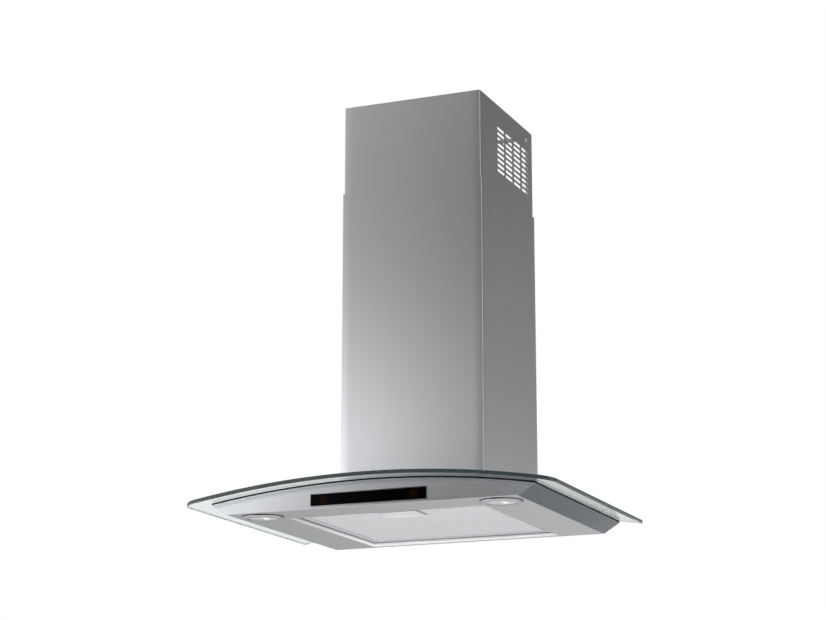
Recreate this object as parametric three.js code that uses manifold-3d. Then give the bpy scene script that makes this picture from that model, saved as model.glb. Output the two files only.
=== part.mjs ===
// A wall-hung range hood with a bent glass canopy.
//
// A shallow steel tray carries a grease filter, two lamps and a touch control
// strip. A bent sheet of glass lies on it. A blower box stands on the glass,
// hangs on a rail on the wall, and is hidden by a two-part telescopic chimney.
//
// Millimetres. +X is to the right, -Y is the front, +Z is up. The wall is the
// plane y = 0. The pieces are placed from the underside of the tray, z = 0, and
// the whole hood is then lowered so that its origin lies on the wall, at the
// middle of the rail that it hangs on.

import * as THREE from 'three';
import { mergeVertices } from 'three/addons/utils/BufferGeometryUtils.js';
import Module from 'manifold-3d';

const wasm = await Module();
wasm.setup();

// ---------------------------------------------------------------- dimensions

const SEAT_GAP = 0.3; // between pieces that rest on each other
const TRIM_DEPTH = 60; // of the body that trims feet to the bend of the glass
const CUTTER_REACH = 40; // of a cutter past what it cuts

// Bent glass
const GLASS_WIDTH = 600;
const GLASS_DEPTH = 438;
const GLASS_THICKNESS = 6;
const GLASS_BEND_RADIUS = 1600; // to the underside
const GLASS_CROWN = 41.5; // underside of the glass over the tray's underside, at the middle
const GLASS_CORNER_RADIUS = 20; // the two front corners
const GLASS_WALL_GAP = 3;

// Steel tray
const TRAY_WIDTH = 473.2; // across the underside
const TRAY_DEPTH = 405.6;
const TRAY_WALL_GAP = 10;
const TRAY_SHEET = 1.2;
const SIDE_LEAN = 58.5; // degrees from upright, outwards
const RIM_WIDTH = 12; // of the inward rim that the seal lies on
const GASKET_THICKNESS = 2.4;
const GASKET_WIDTH = 9;
const GASKET_SETBACK = 0.6;
const DECK_SHEET = 1.0;
const DECK_OVERLAP = 4; // of the deck under the rim

// Filter opening in the tray
const OPENING_WIDTH = 322;
const OPENING_DEPTH = 322;
const OPENING_FROM_BACK = 12;
const LIP_HEIGHT = 13.2;
const LIP_SHEET = 1.0;

// Grease filter
const FILTER_SIDE_GAP = 1.5;
const FILTER_FRONT_GAP = 1.3;
const FILTER_REAR_GAP = 5;
const FILTER_RECESS = 6; // its face lies this far above the tray's underside
const FRAME_SHEET = 1.0;
const FRAME_RAIL = 10;
const FACE_SHEET = 0.7;
const CORE_SHEET = 0.6;
const CORE_PITCH = 18;
const TONGUE_SHEET = 1.2;
const TONGUE_WIDTH = 36;
const TONGUE_SPACING = 200;
const TONGUE_REACH = 6; // past the lip that it rests on

// Filter latch
const HANDLE_WIDTH = 68;
const HANDLE_DEPTH = 47;
const HANDLE_SHEET = 1.7;
const HANDLE_FROM_FRONT = 33; // behind the front of the opening
const NECK_WIDTH = 22;
const NECK_DEPTH = 12;
const BOLT_WIDTH = 30;
const BOLT_REACH = 4; // over the front lip
const LATCH_TRAVEL = 8;
const GUIDE_WIDTH = 54;
const GUIDE_LENGTH = 68;
const SPRING_RADIUS = 2.6;
const SPRING_WIRE = 0.8;
const SPRING_TURNS = 5;

// Control strip on the front
const CONTROL_WIDTH = 188;
const CONTROL_HEIGHT = 17.4;
const CONTROL_CENTRE_Z = 13.2;
const CONTROL_GLASS = 1.6;
const CONTROL_FRAME_RIM = 1.4;
const CONTROL_FRAME_PROUD = 1.2;
const CONTROL_WINDOW_WIDTH = 176;
const CONTROL_WINDOW_HEIGHT = 11;
const CONTROL_HOUSING_DEPTH = 17;
const CONTROL_HOUSING_WALL = 1.8;
const BOARD_THICKNESS = 1.6;

// Lamps
const LAMP_SPACING = 392;
const LAMP_FROM_FRONT = 43.6;
const LAMP_RADIUS = 33;
const LAMP_BARREL_RADIUS = 26.6;
const LAMP_WALL = 1.1;
const LAMP_HOLE_GAP = 0.5;
const LAMP_SEAL_HEIGHT = 1.2;
const LAMP_FLANGE_HEIGHT = 1.1;
const LAMP_LENS_RADIUS = 24.6;
const LAMP_MODULE_HEIGHT = 13;

// Chimney
const COVER_SIDE_ROOM = 13.55; // from the blower box to the outside of the lower cover
const COVER_FRONT_ROOM = 13.7;
const LOWER_TOP = 546.9; // over the tray's underside
const CHIMNEY_SHEET = 0.8;
const CHIMNEY_RETURN = 12; // width of the folds along the wall
const UPPER_SIDE_GAP = 1.5; // between the two covers
const UPPER_FRONT_GAP = 0.35;
const UPPER_LENGTH = 480;
const UPPER_SHOWN = 148.5; // length above the lower cover

// Vent slots in both sides of the upper chimney
const VENT_COLUMNS = 4;
const VENT_ROWS = 9;
const VENT_LENGTH = 31.4;
const VENT_HEIGHT = 4.8;
const VENT_COLUMN_PITCH = 38.4;
const VENT_ROW_PITCH = 9;
const VENT_FROM_TOP = 40; // to the middle of the first row
const VENT_FROM_WALL = 37.8; // to the middle of the last column

// Chimney bracket
const BRACKET_HEIGHT = 35;
const BRACKET_SHEET = 1.2;
const BRACKET_BELOW_TOP = 1.5;
const BRACKET_STEP = 5; // the arms step out past the cover's folds
const BRACKET_EAR = 40;
const BRACKET_PLATE_WIDTH = 94;
const BRACKET_ARM_HEIGHT = 7;
const BRACKET_HOLE_SPACING = 70;
const BRACKET_HOLE_LENGTH = 14;
const BRACKET_HOLE_WIDTH = 6;
const SIDE_SCREW_FROM_WALL = 30;
const SIDE_SCREW_RADIUS = 1.8;
const SIDE_SCREW_LENGTH = 7;
const SIDE_SCREW_HEAD = 3.4;

// Clips between the blower box and the lower cover
const CLIP_SHEET = 1.5;
const CLIP_HEIGHT = 16;
const CLIP_ABOVE_SEAT = 8;
const CLIP_FROM_WALL = 40;
const CLIP_FOOT = 26;
const CLIP_TOE = 22;

// Blower box
const CHASSIS_WIDTH = 216;
const CHASSIS_DEPTH = 222;
const CHASSIS_WALL_GAP = 14;
const CHASSIS_TOP = 285; // over the tray's underside
const CHASSIS_SHEET = 1.2;
const CHASSIS_FLANGE = 20;
const AIRWAY_CORNER = 8; // radius of the air opening's corners in glass, deck and flange
const CLAMP_SCREW_RADIUS = 2;
const CLAMP_SCREW_INSET = 11.5; // from the box's outer faces
const CLAMP_HOLE_GAP = 0.8;
const CLAMP_NUT_HEIGHT = 3;
const THREAD_GAP = 0.15; // round a screw in its nut

// Rail on the wall, and the slot in the box's back that hangs on it
const RAIL_WIDTH = 180;
const RAIL_HEIGHT = 46;
const RAIL_SHEET = 2;
const RAIL_HOOK_BELOW_TOP = 21; // top of the hook's shelf, under the top of the box
const RAIL_HOOK_WIDTH = 120;
const RAIL_HOOK_LIP = 10;
const RAIL_HOLE_SPACING = 150;
const RAIL_HOLE_WIDTH = 6.5;
const RAIL_HOLE_LENGTH = 16;

// Blower
const FAN_RADIUS = 70;
const FAN_WIDTH = 80;
const FAN_BLADES = 24;
const BLADE_SHEET = 1.0;
const BLADE_CHORD = 15;
const FAN_DISC = 1.6;
const FAN_RING = 2.2;
const HUB_RADIUS = 12;
const HUB_LENGTH = 12;
const FAN_AXIS_Y = -140;
const FAN_AXIS_Z = 175;
const SCROLL_WIDTH = 100;
const SCROLL_WALL = 2;
const SCROLL_START_RADIUS = 76;
const SCROLL_END_RADIUS = 97;
const SCROLL_FLANGE = 13;
const INLET_FLARE = 6;
const INLET_HEIGHT = 5; // of the flared rims, and of the bosses for the motor bracket
const THROAT_FRONT = 13; // of the outlet, behind the fan's axis
const SHAFT_RADIUS = 4;
const MOTOR_RADIUS = 42;
const MOTOR_LENGTH = 40;
const MOTOR_START = 9; // from the fan's disc
const BRACKET_ARM_WIDTH = 12;
const BRACKET_ARM_SHEET = 2;
const ARM_SCREW_RADIUS = 1.6;

// Duct collar and its flaps
const COLLAR_RADIUS = 74.5; // outside, for a 150 mm duct
const COLLAR_WALL = 2.2;
const COLLAR_AXIS_Y = -96;
const COLLAR_NECK = 24; // height of the rectangular-to-round part
const COLLAR_SPIGOT = 42;
const COLLAR_FLANGE = 2.6;
const COLLAR_LEDGE = 4; // that the closed flaps rest on
const FLAP_AXIS_ABOVE_NECK = 14;
const FLAP_SHEET = 1.2;
const FLAP_EDGE_GAP = 1.8;
const FLAP_AXLE_RADIUS = 2;
const KNUCKLE_WALL = 1.5;
const KNUCKLE_GAP = 0.3;
const KNUCKLES = 5;

// Electrics on top of the box
const ELECTRONICS_WIDTH = 112;
const ELECTRONICS_HEIGHT = 30;
const ELECTRONICS_SIDE_ROOM = 16; // from the left of the blower box
const ELECTRONICS_FRONT_ROOM = 3; // from its front
const ELECTRONICS_COLLAR_ROOM = 4.5; // behind it, to the duct collar
const ELECTRONICS_WALL = 2.4;
const LID_SHEET = 2.5;
const GLAND_SIDE_ROOM = 18; // from the gland's axis to the left of the lid
const CAPACITOR_RADIUS = 16;
const CAPACITOR_END_ROOM = 2; // by which the can is shorter than the electronics box is deep
const CAPACITOR_SIDE_ROOM = 40; // from the can's axis to the right of the box
const CAPACITOR_CLIP_WIDTH = 12;
const CAPACITOR_CLIP_SHEET = 1.2;

// ----------------------------------------------------------- derived figures

const degrees = (angle) => THREE.MathUtils.degToRad(angle);

const bendCentreZ = GLASS_CROWN - GLASS_BEND_RADIUS;
const glassTopRadius = GLASS_BEND_RADIUS + GLASS_THICKNESS;
const rimRadius = GLASS_BEND_RADIUS - GASKET_THICKNESS - 2 * SEAT_GAP;
const deckTopRadius = rimRadius - TRAY_SHEET - SEAT_GAP;
const trayBack = -TRAY_WALL_GAP;
const trayFront = trayBack - TRAY_DEPTH;
const glassBack = -GLASS_WALL_GAP;
const glassFront = glassBack - GLASS_DEPTH;

const opening = {
  left: -OPENING_WIDTH / 2,
  right: OPENING_WIDTH / 2,
  rear: trayBack - OPENING_FROM_BACK,
  front: trayBack - OPENING_FROM_BACK - OPENING_DEPTH,
};
const filter = {
  left: opening.left + FILTER_SIDE_GAP,
  right: opening.right - FILTER_SIDE_GAP,
  rear: opening.rear - FILTER_REAR_GAP,
  front: opening.front + FILTER_FRONT_GAP,
  bottom: FILTER_RECESS,
  top: LIP_HEIGHT + SEAT_GAP + TONGUE_SHEET,
};
const tongueBottom = LIP_HEIGHT + SEAT_GAP;

const chassis = {
  left: -CHASSIS_WIDTH / 2,
  right: CHASSIS_WIDTH / 2,
  rear: -CHASSIS_WALL_GAP,
  front: -CHASSIS_WALL_GAP - CHASSIS_DEPTH,
};
const railHookZ = CHASSIS_TOP - RAIL_HOOK_BELOW_TOP;
// The air opening through deck and glass, inside the box's flange.
const airway = {
  left: chassis.left + CHASSIS_FLANGE,
  right: chassis.right - CHASSIS_FLANGE,
  rear: chassis.rear - CHASSIS_FLANGE,
  front: chassis.front + CHASSIS_FLANGE,
};

const lowerWidth = CHASSIS_WIDTH + 2 * COVER_SIDE_ROOM;
const lowerDepth = CHASSIS_WALL_GAP + CHASSIS_DEPTH + COVER_FRONT_ROOM;
const upperTop = LOWER_TOP + UPPER_SHOWN;
const upperBottom = upperTop - UPPER_LENGTH;
const upperHalfWidth = lowerWidth / 2 - CHIMNEY_SHEET - UPPER_SIDE_GAP;
const upperFront = -lowerDepth + CHIMNEY_SHEET + UPPER_FRONT_GAP;
const upperRear = -CHIMNEY_SHEET - SEAT_GAP;

const throat = {
  front: FAN_AXIS_Y + THROAT_FRONT,
  rear: FAN_AXIS_Y + SCROLL_END_RADIUS,
};
const scrollTop = CHASSIS_TOP - CHASSIS_SHEET - SEAT_GAP;
const scrollHalfWidth = SCROLL_WIDTH / 2;
const inletRadius = FAN_RADIUS - BLADE_CHORD;
const collarBase = CHASSIS_TOP + SEAT_GAP;
const spigotBase = collarBase + COLLAR_NECK;
const spigotBore = COLLAR_RADIUS - COLLAR_WALL;
const flapAxisZ = spigotBase + FLAP_AXIS_ABOVE_NECK;
const knuckleRadius = FLAP_AXLE_RADIUS + KNUCKLE_GAP + KNUCKLE_WALL;

// ------------------------------------------------------------------- helpers

// A closed three.js geometry as a solid. Doubled points and the collapsed
// triangles at a lathe's axis are dropped, and a shell that came out inside out
// is turned.
function solid(geometry) {
  const bare = geometry.clone();
  bare.deleteAttribute('normal');
  bare.deleteAttribute('uv');
  const merged = mergeVertices(bare, 1e-4);
  const points = merged.attributes.position.array;
  const corners = merged.index.array;
  const kept = [];
  const a = new THREE.Vector3();
  const b = new THREE.Vector3();
  const c = new THREE.Vector3();
  let volume = 0;
  for (let i = 0; i < corners.length; i += 3) {
    const [p, q, r] = [corners[i], corners[i + 1], corners[i + 2]];
    if (p === q || q === r || r === p) continue;
    kept.push(p, q, r);
    a.fromArray(points, 3 * p);
    b.fromArray(points, 3 * q);
    c.fromArray(points, 3 * r);
    volume += a.dot(b.cross(c));
  }
  if (volume < 0) kept.reverse();
  return new wasm.Manifold(new wasm.Mesh({
    numProp: 3,
    vertProperties: new Float32Array(points),
    triVerts: new Uint32Array(kept),
  }));
}

function geometryOf(body) {
  const mesh = body.getMesh();
  const geometry = new THREE.BufferGeometry();
  geometry.setAttribute('position', new THREE.BufferAttribute(mesh.vertProperties, 3));
  geometry.setIndex(new THREE.BufferAttribute(mesh.triVerts, 1));
  geometry.computeVertexNormals();
  return geometry;
}

const join = (...bodies) => bodies.reduce((whole, body) => whole.add(body));
const cut = (body, ...tools) => tools.reduce((rest, tool) => rest.subtract(tool), body);

// Prisms. The outline lies in XY, XZ or YZ, and the prism runs along the third axis.
function prism(shape, length, segments) {
  return new THREE.ExtrudeGeometry(shape, {
    depth: length,
    bevelEnabled: false,
    curveSegments: segments,
  });
}

function alongZ(shape, z0, z1, segments = 8) {
  return solid(prism(shape, z1 - z0, segments).translate(0, 0, z0));
}

function alongY(shape, y0, y1, segments = 8) {
  return solid(prism(shape, y1 - y0, segments).rotateX(Math.PI / 2).translate(0, y1, 0));
}

function alongX(shape, x0, x1, segments = 8) {
  const turn = new THREE.Matrix4().makeBasis(
    new THREE.Vector3(0, 1, 0),
    new THREE.Vector3(0, 0, 1),
    new THREE.Vector3(1, 0, 0),
  );
  return solid(prism(shape, x1 - x0, segments).applyMatrix4(turn).translate(x0, 0, 0));
}

function box(x0, x1, y0, y1, z0, z1) {
  const geometry = new THREE.BoxGeometry(x1 - x0, y1 - y0, z1 - z0);
  return solid(geometry.translate((x0 + x1) / 2, (y0 + y1) / 2, (z0 + z1) / 2));
}

// A profile of [radius, height] points turned about the Z axis.
function turned(profile, segments = 32) {
  const points = profile.map(([radius, height]) => new THREE.Vector2(radius, height));
  return solid(new THREE.LatheGeometry(points, segments).rotateX(Math.PI / 2));
}

function moved(body, matrix) {
  return solid(geometryOf(body).applyMatrix4(matrix));
}

// Turns what stands along Z so that it lies along X, and moves it to (x, y, z).
function laidAlongX(x, y, z) {
  return new THREE.Matrix4().makeRotationY(Math.PI / 2).setPosition(x, y, z);
}

const shifted = (body, x, y, z = 0) =>
  moved(body, new THREE.Matrix4().makeTranslation(x, y, z));

const cylinder = (radius, z0, z1, segments = 32) =>
  turned([[0, z0], [radius, z0], [radius, z1], [0, z1]], segments);

const tube = (inner, outer, z0, z1, segments = 32) =>
  turned([[inner, z0], [outer, z0], [outer, z1], [inner, z1], [inner, z0]], segments);

function outline(points) {
  return new THREE.Shape(points.map(([x, y]) => new THREE.Vector2(x, y)));
}

// A rectangle with round corners. The rear corners may have a radius of their own.
function roundedRectangle({ left, right, front, rear }, radius, rearRadius = radius) {
  const shape = new THREE.Shape();
  const quarter = Math.PI / 2;
  shape.absarc(left + radius, front + radius, radius, 2 * quarter, 3 * quarter);
  shape.absarc(right - radius, front + radius, radius, 3 * quarter, 4 * quarter);
  shape.absarc(right - rearRadius, rear - rearRadius, rearRadius, 0, quarter);
  shape.absarc(left + rearRadius, rear - rearRadius, rearRadius, quarter, 2 * quarter);
  return shape;
}

function inset({ left, right, front, rear }, by) {
  return { left: left + by, right: right - by, front: front + by, rear: rear - by };
}

const plainBox = ({ left, right, front, rear }, z0, z1) => box(left, right, front, rear, z0, z1);

// The cross-section of a bent sheet: the band between two radii about the axis of
// the glass's bend, cut off upright at the half width.
function bentBand(inner, outer, halfWidth, segments = 16) {
  const shape = new THREE.Shape();
  const innerEnd = Math.asin(halfWidth / inner);
  const outerEnd = Math.asin(halfWidth / outer);
  const up = Math.PI / 2;
  const points = [];
  for (let i = 0; i <= segments; i += 1) {
    const angle = up + outerEnd - (2 * outerEnd * i) / segments;
    points.push([outer * Math.cos(angle), bendCentreZ + outer * Math.sin(angle)]);
  }
  for (let i = 0; i <= segments; i += 1) {
    const angle = up - innerEnd + (2 * innerEnd * i) / segments;
    points.push([inner * Math.cos(angle), bendCentreZ + inner * Math.sin(angle)]);
  }
  shape.setFromPoints(points.map(([x, z]) => new THREE.Vector2(x, z)));
  return shape;
}

// A strip of sheet bent along a line of points: its edge-on outline.
function bentStrip(points, thickness) {
  const line = points.map(([x, y]) => new THREE.Vector2(x, y));
  const side = (sign) => line.map((point, i) => {
    const before = line[Math.max(i - 1, 0)];
    const after = line[Math.min(i + 1, line.length - 1)];
    const into = point.clone().sub(before).normalize();
    const out = after.clone().sub(point).normalize();
    if (i === 0) into.copy(out);
    if (i === line.length - 1) out.copy(into);
    const along = into.clone().add(out).normalize();
    const normal = new THREE.Vector2(-along.y, along.x);
    const mitre = thickness / 2 / Math.max(along.dot(out), 0.3);
    return point.clone().addScaledVector(normal, sign * mitre);
  });
  return new THREE.Shape([...side(1), ...side(-1).reverse()]);
}

// A pan-head screw along Z: the head's underside at z = 0, the shank below it.
function screw(shankRadius, shankLength, headRadius = 2 * shankRadius) {
  const headHeight = 0.6 * headRadius;
  return turned([
    [0, -shankLength],
    [shankRadius, -shankLength],
    [shankRadius, 0],
    [headRadius, 0],
    [0.75 * headRadius, headHeight],
    [0, headHeight],
  ], 8);
}

// Where something stands square to the bent glass: its axis crosses the glass's
// underside at x, and its z = 0 is at the given radius.
function onBend(x, y, radius) {
  const lean = Math.asin(x / GLASS_BEND_RADIUS);
  const turn = new THREE.Matrix4().makeRotationY(lean);
  return turn.setPosition(
    radius * Math.sin(lean),
    y,
    bendCentreZ + radius * Math.cos(lean),
  );
}

const finish = (color, roughness, metalness, extra = {}) =>
  new THREE.MeshStandardMaterial({ color, roughness, metalness, flatShading: true, ...extra });

const FINISHES = {
  brushedSteel: finish('#b4b6b9', 0.38, 0.9),
  galvanised: finish('#a9adb0', 0.5, 0.8),
  chrome: finish('#dfe2e4', 0.12, 1),
  aluminium: finish('#c9c9ce', 0.5, 0.7),
  glass: finish('#d3e4e2', 0.05, 0, { transparent: true, opacity: 0.35 }),
  blackGlass: finish('#08080a', 0.08, 0),
  frostedLens: finish('#eef1f2', 0.5, 0),
  rubber: finish('#17181a', 0.8, 0),
  darkPlastic: finish('#2b2d30', 0.6, 0),
  greyPlastic: finish('#8d9093', 0.6, 0),
  board: finish('#1f4a35', 0.6, 0),
  zinc: finish('#c2c6c8', 0.35, 0.9),
};

const hood = new THREE.Group();

function place(name, body, material, position = [0, 0, 0]) {
  const mesh = new THREE.Mesh(geometryOf(body), material);
  mesh.name = name;
  mesh.position.set(...position);
  hood.add(mesh);
  return mesh;
}

// ---------------------------------------------------------------------- tray

// Where the leaning side of the tray meets an arc of the bend: the distance along
// the side, from its foot, solves a quadratic.
function sideMeets(radius, footX, footZ) {
  const lean = degrees(SIDE_LEAN);
  const [dx, dz] = [Math.sin(lean), Math.cos(lean)];
  const rise = footZ - bendCentreZ;
  const half = footX * dx + rise * dz;
  const rest = footX * footX + rise * rise - radius * radius;
  return footX + dx * (-half + Math.sqrt(half * half - rest));
}

const rimHalfWidth = sideMeets(rimRadius, TRAY_WIDTH / 2, 0);

// The tray seen from the front: a flat bottom, leaning sides and an arched top.
// With an inset it is the outline of the space inside the sheet.
function trayOutline(by) {
  const lean = degrees(SIDE_LEAN);
  const footX = TRAY_WIDTH / 2 - by / Math.cos(lean) + by * Math.tan(lean);
  const radius = rimRadius - by;
  const topX = sideMeets(radius, footX, by);
  const end = Math.asin(topX / radius);
  const segments = 16;
  const points = [[-footX, by], [footX, by]];
  for (let i = 0; i <= segments; i += 1) {
    const angle = Math.PI / 2 - end + (2 * end * i) / segments;
    points.push([radius * Math.cos(angle), bendCentreZ + radius * Math.sin(angle)]);
  }
  return outline(points);
}

function canopyBody() {
  const full = alongY(trayOutline(0), trayFront, trayBack);
  const hollow = alongY(trayOutline(TRAY_SHEET), trayFront + TRAY_SHEET, trayBack - TRAY_SHEET);
  const mouth = alongY(
    bentBand(rimRadius - 2 * TRAY_SHEET, rimRadius + TRAY_SHEET, rimHalfWidth - RIM_WIDTH),
    trayFront + RIM_WIDTH,
    trayBack - RIM_WIDTH,
  );
  const lips = cut(
    plainBox(inset(opening, -LIP_SHEET), 0, LIP_HEIGHT),
    plainBox(opening, -1, LIP_HEIGHT + 1),
  );
  const lampHole = (side) => shifted(
    cylinder(LAMP_BARREL_RADIUS + LAMP_HOLE_GAP, -1, TRAY_SHEET + 1, 28),
    side * LAMP_SPACING / 2,
    trayFront + LAMP_FROM_FRONT,
  );
  const controlWindow = box(
    -CONTROL_WINDOW_WIDTH / 2, CONTROL_WINDOW_WIDTH / 2,
    trayFront - 1, trayFront + TRAY_SHEET + 1,
    CONTROL_CENTRE_Z - CONTROL_WINDOW_HEIGHT / 2, CONTROL_CENTRE_Z + CONTROL_WINDOW_HEIGHT / 2,
  );
  const tray = join(cut(full, hollow, mouth), lips);
  return cut(
    tray,
    plainBox(opening, -1, TRAY_SHEET + 1),
    lampHole(-1),
    lampHole(1),
    controlWindow,
  );
}

const CORNER_NAMES = ['front_left', 'front_right', 'rear_left', 'rear_right'];

function clampCorners() {
  const corner = inset(chassis, CLAMP_SCREW_INSET);
  return [
    [corner.left, corner.front],
    [corner.right, corner.front],
    [corner.left, corner.rear],
    [corner.right, corner.rear],
  ];
}

// One hole for each clamp screw, square to the bend, through everything near it.
const reachThrough = 30;

function clampHoles() {
  const hole = cylinder(CLAMP_SCREW_RADIUS + CLAMP_HOLE_GAP, -reachThrough, reachThrough, 8);
  return clampCorners().map(([x, y]) => moved(hole, onBend(x, y, GLASS_BEND_RADIUS)));
}

function airwayCutter(bottom, top) {
  return alongZ(roundedRectangle(airway, AIRWAY_CORNER), bottom, top, 2);
}

const aboveEverything = GLASS_CROWN + GLASS_THICKNESS + CUTTER_REACH;

// The deck carries a pressed nut for each clamp screw.
function topDeck() {
  const halfWidth = rimHalfWidth - RIM_WIDTH + DECK_OVERLAP;
  const sheet = alongY(
    bentBand(deckTopRadius - DECK_SHEET, deckTopRadius, halfWidth),
    trayFront + RIM_WIDTH - DECK_OVERLAP,
    trayBack - RIM_WIDTH + DECK_OVERLAP,
  );
  const nut = cylinder(2 * CLAMP_SCREW_RADIUS, -CLAMP_NUT_HEIGHT, DECK_SHEET / 2, 6);
  const thread = cylinder(CLAMP_SCREW_RADIUS + THREAD_GAP, -reachThrough, reachThrough, 8);
  const spots = clampCorners().map(([x, y]) => onBend(x, y, deckTopRadius - DECK_SHEET));
  const nuts = spots.map((spot) => moved(nut, spot));
  const threads = spots.map((spot) => moved(thread, spot));
  return cut(join(sheet, ...nuts), airwayCutter(-1, aboveEverything), ...threads);
}

function glassGasket() {
  const top = GLASS_BEND_RADIUS - SEAT_GAP;
  const outer = rimHalfWidth - GASKET_SETBACK;
  const inner = outer - GASKET_WIDTH;
  const strip = alongY(
    bentBand(top - GASKET_THICKNESS, top, outer),
    trayFront + GASKET_SETBACK,
    trayBack - GASKET_SETBACK,
  );
  const middle = box(
    -inner, inner,
    trayFront + GASKET_SETBACK + GASKET_WIDTH, trayBack - GASKET_SETBACK - GASKET_WIDTH,
    -1, aboveEverything,
  );
  return cut(strip, middle);
}

function glassCanopy() {
  const halfWidth = GLASS_WIDTH / 2;
  const bent = alongY(
    bentBand(GLASS_BEND_RADIUS, glassTopRadius, halfWidth, 20),
    glassFront,
    glassBack,
  );
  const plan = roundedRectangle(
    { left: -halfWidth, right: halfWidth, front: glassFront, rear: glassBack },
    GLASS_CORNER_RADIUS,
    GLASS_CORNER_RADIUS / 5,
  );
  const trimmed = bent.intersect(alongZ(plan, -aboveEverything, aboveEverything, 3));
  return cut(trimmed, airwayCutter(-1, aboveEverything), ...clampHoles());
}

place('canopy_body', canopyBody(), FINISHES.brushedSteel);
place('top_deck', topDeck(), FINISHES.galvanised);
place('glass_gasket', glassGasket(), FINISHES.rubber);
place('glass_canopy', glassCanopy(), FINISHES.glass);

// ------------------------------------------------------------- control strip

function controlRectangle(width, height) {
  return roundedRectangle({
    left: -width / 2,
    right: width / 2,
    front: CONTROL_CENTRE_Z - height / 2,
    rear: CONTROL_CENTRE_Z + height / 2,
  }, 1);
}

function controlFrame() {
  const back = trayFront - SEAT_GAP;
  const front = back - CONTROL_FRAME_PROUD;
  const grow = 2 * CONTROL_FRAME_RIM;
  const seat = 2 * SEAT_GAP;
  return cut(
    alongY(controlRectangle(CONTROL_WIDTH + grow, CONTROL_HEIGHT + grow), front, back, 1),
    alongY(controlRectangle(CONTROL_WIDTH + seat, CONTROL_HEIGHT + seat), front - 1, back + 1, 1),
  );
}

function controlPanel() {
  const back = trayFront - SEAT_GAP;
  return alongY(controlRectangle(CONTROL_WIDTH, CONTROL_HEIGHT), back - CONTROL_GLASS, back, 1);
}

const controlBack = trayFront + TRAY_SHEET + SEAT_GAP;

// The board lies in the window of the front sheet, against the glass.
function controlBoard() {
  const gap = 1;
  const width = CONTROL_WINDOW_WIDTH - 2 * gap;
  const height = CONTROL_WINDOW_HEIGHT - 2 * gap;
  return alongY(controlRectangle(width, height), trayFront, trayFront + BOARD_THICKNESS, 1);
}

function controlHousing() {
  const width = CONTROL_WINDOW_WIDTH + 6;
  const height = CONTROL_WINDOW_HEIGHT + 6;
  const rear = controlBack + CONTROL_HOUSING_DEPTH;
  const wall = 2 * CONTROL_HOUSING_WALL;
  return cut(
    alongY(controlRectangle(width, height), controlBack, rear, 1),
    alongY(
      controlRectangle(width - wall, height - wall),
      controlBack - 1,
      rear - CONTROL_HOUSING_WALL,
      1,
    ),
  );
}

place('control_frame', controlFrame(), FINISHES.chrome);
place('control_panel', controlPanel(), FINISHES.blackGlass);
place('control_board', controlBoard(), FINISHES.board);
place('control_housing', controlHousing(), FINISHES.darkPlastic);

// --------------------------------------------------------------------- lamps

// Each lamp is turned about its own axis, with z = 0 at the tray's underside.
const lampFlangeTop = -2 * SEAT_GAP - LAMP_SEAL_HEIGHT;
const lampFace = lampFlangeTop - LAMP_FLANGE_HEIGHT;
const lampBarrelBore = LAMP_BARREL_RADIUS - LAMP_WALL;

function lampSeal() {
  return tube(
    LAMP_BARREL_RADIUS + LAMP_HOLE_GAP,
    LAMP_RADIUS - SEAT_GAP,
    lampFlangeTop + SEAT_GAP,
    -SEAT_GAP,
    26,
  );
}

function lampBezel() {
  const barrelTop = 6;
  const lip = LAMP_LENS_RADIUS - 1.4;
  return turned([
    [lip, lampFace],
    [LAMP_RADIUS - 0.8, lampFace],
    [LAMP_RADIUS, lampFace + 0.6],
    [LAMP_RADIUS, lampFlangeTop],
    [LAMP_BARREL_RADIUS, lampFlangeTop],
    [LAMP_BARREL_RADIUS, barrelTop],
    [lampBarrelBore, barrelTop],
    [lampBarrelBore, lampFlangeTop],
    [lip, lampFlangeTop],
    [lip, lampFace],
  ], 26);
}

function lampLens() {
  const bottom = lampFlangeTop + SEAT_GAP;
  return turned([
    [0, bottom - 0.9],
    [0.5 * LAMP_LENS_RADIUS, bottom - 0.6],
    [LAMP_LENS_RADIUS - 3, bottom],
    [LAMP_LENS_RADIUS, bottom],
    [LAMP_LENS_RADIUS, bottom + 1.6],
    [0, bottom + 1.6],
  ], 24);
}

// The module stands on the lens inside the barrel. Its heat sink has ring fins.
function lampModule() {
  const bottom = lampFlangeTop + SEAT_GAP + 1.6 + SEAT_GAP;
  const radius = lampBarrelBore - SEAT_GAP;
  const core = 0.6 * radius;
  const fins = 2;
  const pitch = (LAMP_MODULE_HEIGHT - 4) / fins;
  const profile = [[0, bottom], [radius, bottom], [radius, bottom + 4]];
  for (let i = 0; i < fins; i += 1) {
    const root = bottom + 4 + i * pitch;
    profile.push(
      [core, root],
      [core, root + 0.5 * pitch],
      [radius, root + 0.5 * pitch],
      [radius, root + pitch],
    );
  }
  profile.push([0, bottom + LAMP_MODULE_HEIGHT]);
  return turned(profile, 16);
}

for (const [name, side] of [['left', -1], ['right', 1]]) {
  const spot = [side * LAMP_SPACING / 2, trayFront + LAMP_FROM_FRONT, 0];
  place(`lamp_seal_${name}`, lampSeal(), FINISHES.rubber, spot);
  place(`lamp_bezel_${name}`, lampBezel(), FINISHES.chrome, spot);
  place(`lamp_lens_${name}`, lampLens(), FINISHES.frostedLens, spot);
  place(`lamp_module_${name}`, lampModule(), FINISHES.aluminium, spot);
}

// -------------------------------------------------------------- grease filter

const handleFront = opening.front + HANDLE_FROM_FRONT;
const neckFront = handleFront + 13;
const neckRear = neckFront + NECK_DEPTH;
const guideFront = filter.front + FRAME_RAIL + SEAT_GAP;
const guideRear = guideFront + GUIDE_LENGTH;
const guideTop = LIP_HEIGHT;

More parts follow.
